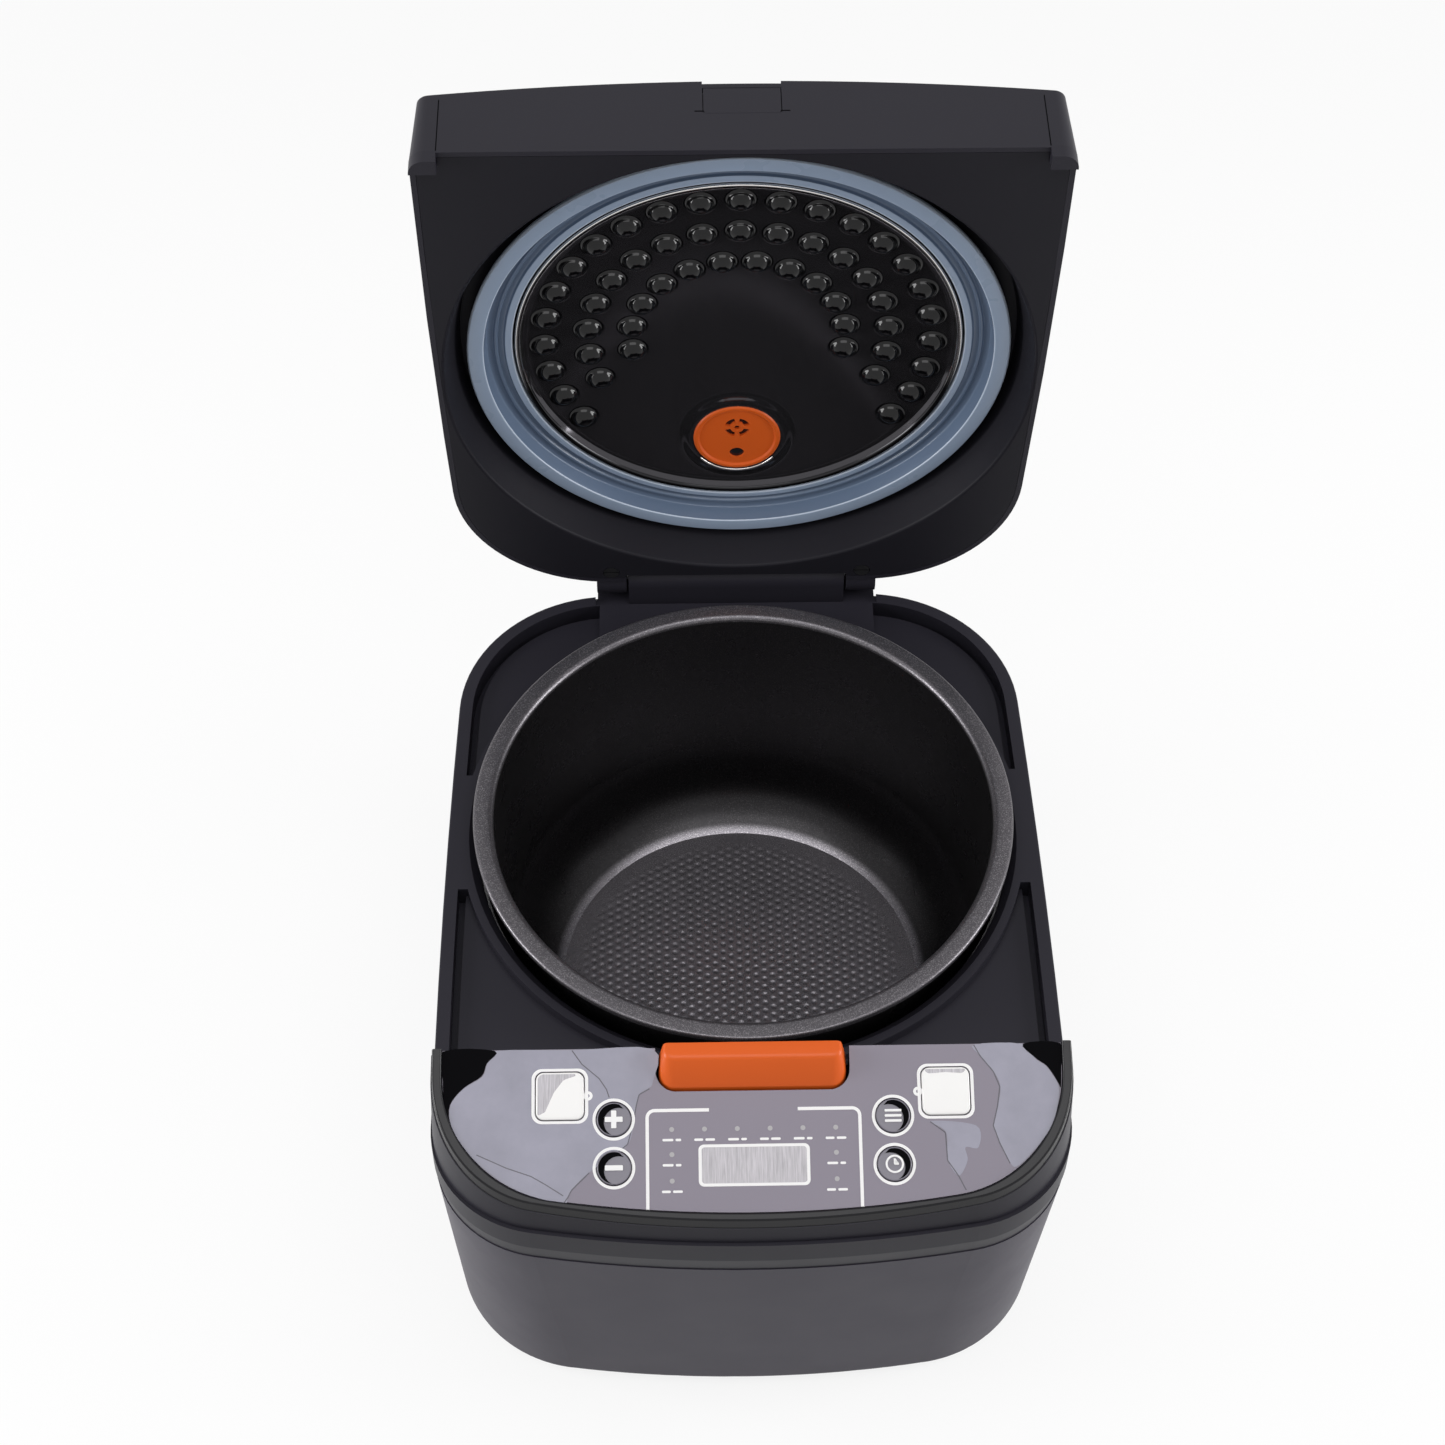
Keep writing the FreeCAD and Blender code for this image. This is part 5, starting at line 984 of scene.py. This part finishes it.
# Dark sheets of painted shade for the slits beside the lid's catch and the grooves by its front corners
LID_FRONT_Y = -136.8
LID_LOW_Z = 170.1
LID_SLOPE = 3.2 / 60.0
CATCH_Z = 193.2
CATCH_SLIT_X = 17.3
CATCH_SLIT_Z = CATCH_Z + 0.6
FRONT_LINE_X = 121.8
FRONT_LINE_Z = 186.6
FRONT_T = 0.06
# Half a width, half a height and a corner's radius
CATCH_FOOT = (15.2, 0.7, 0.2)
CATCH_SLIT = (1.9, 0.3, 0.1)
FRONT_LINE = (0.22, 15.4, 0.1)


def lid_front_at(x, z, out):
    """A point out from the closed lid's front wall."""
    return lid_at(x, LID_FRONT_Y + (z - LID_LOW_Z) * LID_SLOPE - out, z)


def on_lid_front(name, loop, mat, slot, lift):
    flat(name, [loop], mat, slot, "lid", lid_front_at, lift, FRONT_T)


on_lid_front("catch_foot", square(0, CATCH_Z, *CATCH_FOOT), "charcoal", "charcoal", 0.02)
for side, name in ((-1, "left"), (1, "right")):
    slit = square(side * CATCH_SLIT_X, CATCH_SLIT_Z, *CATCH_SLIT)
    line = square(side * FRONT_LINE_X, FRONT_LINE_Z, *FRONT_LINE)
    # Dark sheets of painted shade in the slit and the groove
    on_lid_front("catch_slit_shade_" + name, slit, "gloss_black", "black", 0.03)
    on_lid_front("front_groove_shade_" + name, line, "gloss_black", "black", 0.03)

# CAD pieces with their hard edges rounded
softened("lid_top_cover", 1.6, "lid_cover_soft", "lid", "charcoal")
softened("lid_shell", 0.5, "lid_shell_soft", "lid", "charcoal")

# Sensor spring, with a mesh of its own; the real spring shortens as the cap goes down
coil = show("sensor_coil", frame["nodes"]["sensor_spring"].data.copy(), "base", "sensor_spring")
coil.data.materials.clear()
coil.data.materials.append(MATS["steel"])
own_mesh(coil)

# Floor, which takes the shadow near the object and fades into the background, in metres
FLOOR_HALF = 6.0
FLOOR_DROP = 0.0005
FADE_FROM = 0.7
FADE_TO = 1.8
GLOW_NEAR = 0.85

corners = [(-FLOOR_HALF, -FLOOR_HALF, 0), (FLOOR_HALF, -FLOOR_HALF, 0), (FLOOR_HALF, FLOOR_HALF, 0),
           (-FLOOR_HALF, FLOOR_HALF, 0)]
floor_mesh = bpy.data.meshes.new("floor")
floor_mesh.from_pydata(corners, [], [(0, 1, 2, 3)])
floor = bpy.data.objects.new("floor", floor_mesh)
bpy.context.collection.objects.link(floor)
floor.location.z = -FLOOR_DROP


def seen_directly(tree):
    """1 for camera, glossy and transmission rays."""
    path = add(tree, "ShaderNodeLightPath")
    first = add(tree, "ShaderNodeMath", operation="MAXIMUM")
    second = add(tree, "ShaderNodeMath", operation="MAXIMUM")
    tree.links.new(path.outputs["Is Camera Ray"], first.inputs[0])
    tree.links.new(path.outputs["Is Glossy Ray"], first.inputs[1])
    tree.links.new(first.outputs[0], second.inputs[0])
    tree.links.new(path.outputs["Is Transmission Ray"], second.inputs[1])
    return second.outputs[0]


tree, shader = new_material("floor")
shader.inputs["Base Color"].default_value = grey(0.85)
shader.inputs["Roughness"].default_value = 0.9
glow = add(tree, "ShaderNodeEmission", Strength=1.0)
away = add(tree, "ShaderNodeVectorMath", operation="LENGTH")
tree.links.new(object_coords(tree), away.inputs[0])
fade = add(tree, "ShaderNodeMapRange", interpolation_type="SMOOTHSTEP", From_Min=FADE_FROM, From_Max=FADE_TO,
           To_Min=GLOW_NEAR, To_Max=1.0)
tree.links.new(away.outputs["Value"], fade.inputs["Value"])
share = add(tree, "ShaderNodeMath", operation="MULTIPLY")
tree.links.new(seen_directly(tree), share.inputs[0])
tree.links.new(fade.outputs["Result"], share.inputs[1])
mixer = add(tree, "ShaderNodeMixShader")
tree.links.new(share.outputs[0], mixer.inputs[0])
tree.links.new(shader.outputs[0], mixer.inputs[1])
tree.links.new(glow.outputs[0], mixer.inputs[2])
tree.links.new(mixer.outputs[0], tree.nodes["Material Output"].inputs["Surface"])
floor.data.materials.append(MATS["floor"])

# World, dimmer as a light than as it is seen
WORLD_LIGHT = 0.31
WORLD_SEEN = 1.0

world = bpy.data.worlds.new("studio")
bpy.context.scene.world = world
world.use_nodes = True
tree = world.node_tree
background = tree.nodes["Background"]
background.inputs["Color"].default_value = grey(1.0)
strength = add(tree, "ShaderNodeMapRange", To_Min=WORLD_LIGHT, To_Max=WORLD_SEEN)
tree.links.new(seen_directly(tree), strength.inputs["Value"])
tree.links.new(strength.outputs["Result"], background.inputs["Strength"])

# Lamps, in metres and watts: one above and a strip on either side
STRIP_X = 1.25
STRIP_SIZE = (0.5, 0.8)
STRIP_POWER = 12.5


def softbox(name, at, to, size, power):
    data = bpy.data.lights.new(name, "AREA")
    data.shape = "RECTANGLE"
    data.size, data.size_y = size
    data.energy = power
    lamp = bpy.data.objects.new(name, data)
    bpy.context.collection.objects.link(lamp)
    lamp.location = at
    lamp.rotation_euler = (Vector(to) - Vector(at)).to_track_quat("-Z", "Y").to_euler()


softbox("key", (0.0, -0.3, 1.9), (0, 0, 0.2), (1.6, 1.2), 15.0)
for side, name in ((-1, "left"), (1, "right")):
    softbox(name, (side * STRIP_X, -0.1, 0.55), (0, 0.05, 0.3), STRIP_SIZE, STRIP_POWER)

# Camera at the photo's viewing angle: pixels, radians, and millimetres about the middle of the pot's rim
IMAGE_PX = 1445.0
FOCAL_PX = 2888.0083
PITCH = 0.9016
YAW = 0.0271
ROLL = 0.0094
CAMERA_X = -30.3264
CAMERA_Y = -765.4078
CAMERA_Z = 1030.0148
SENSOR = 36.0

forward = Vector((math.sin(YAW) * math.cos(PITCH), math.cos(YAW) * math.cos(PITCH), -math.sin(PITCH)))
right = Vector((math.cos(YAW), -math.sin(YAW), 0.0))
up = right.cross(forward)
rolled_right = math.cos(ROLL) * right + math.sin(ROLL) * up
rolled_up = -math.sin(ROLL) * right + math.cos(ROLL) * up
basis = Matrix((rolled_right, rolled_up, -forward)).transposed().to_4x4()
camera_data = bpy.data.cameras.new("camera")
camera_data.sensor_width = SENSOR
camera_data.lens = SENSOR * FOCAL_PX / IMAGE_PX
camera_data.clip_end = 50.0
camera = bpy.data.objects.new("camera", camera_data)
bpy.context.collection.objects.link(camera)
camera.matrix_world = Matrix.Translation(body_at(CAMERA_X, CAMERA_Y, CAMERA_Z + POT_RIM_Z)) @ basis
bpy.context.scene.camera = camera
bpy.context.scene.view_settings.view_transform = "Standard"
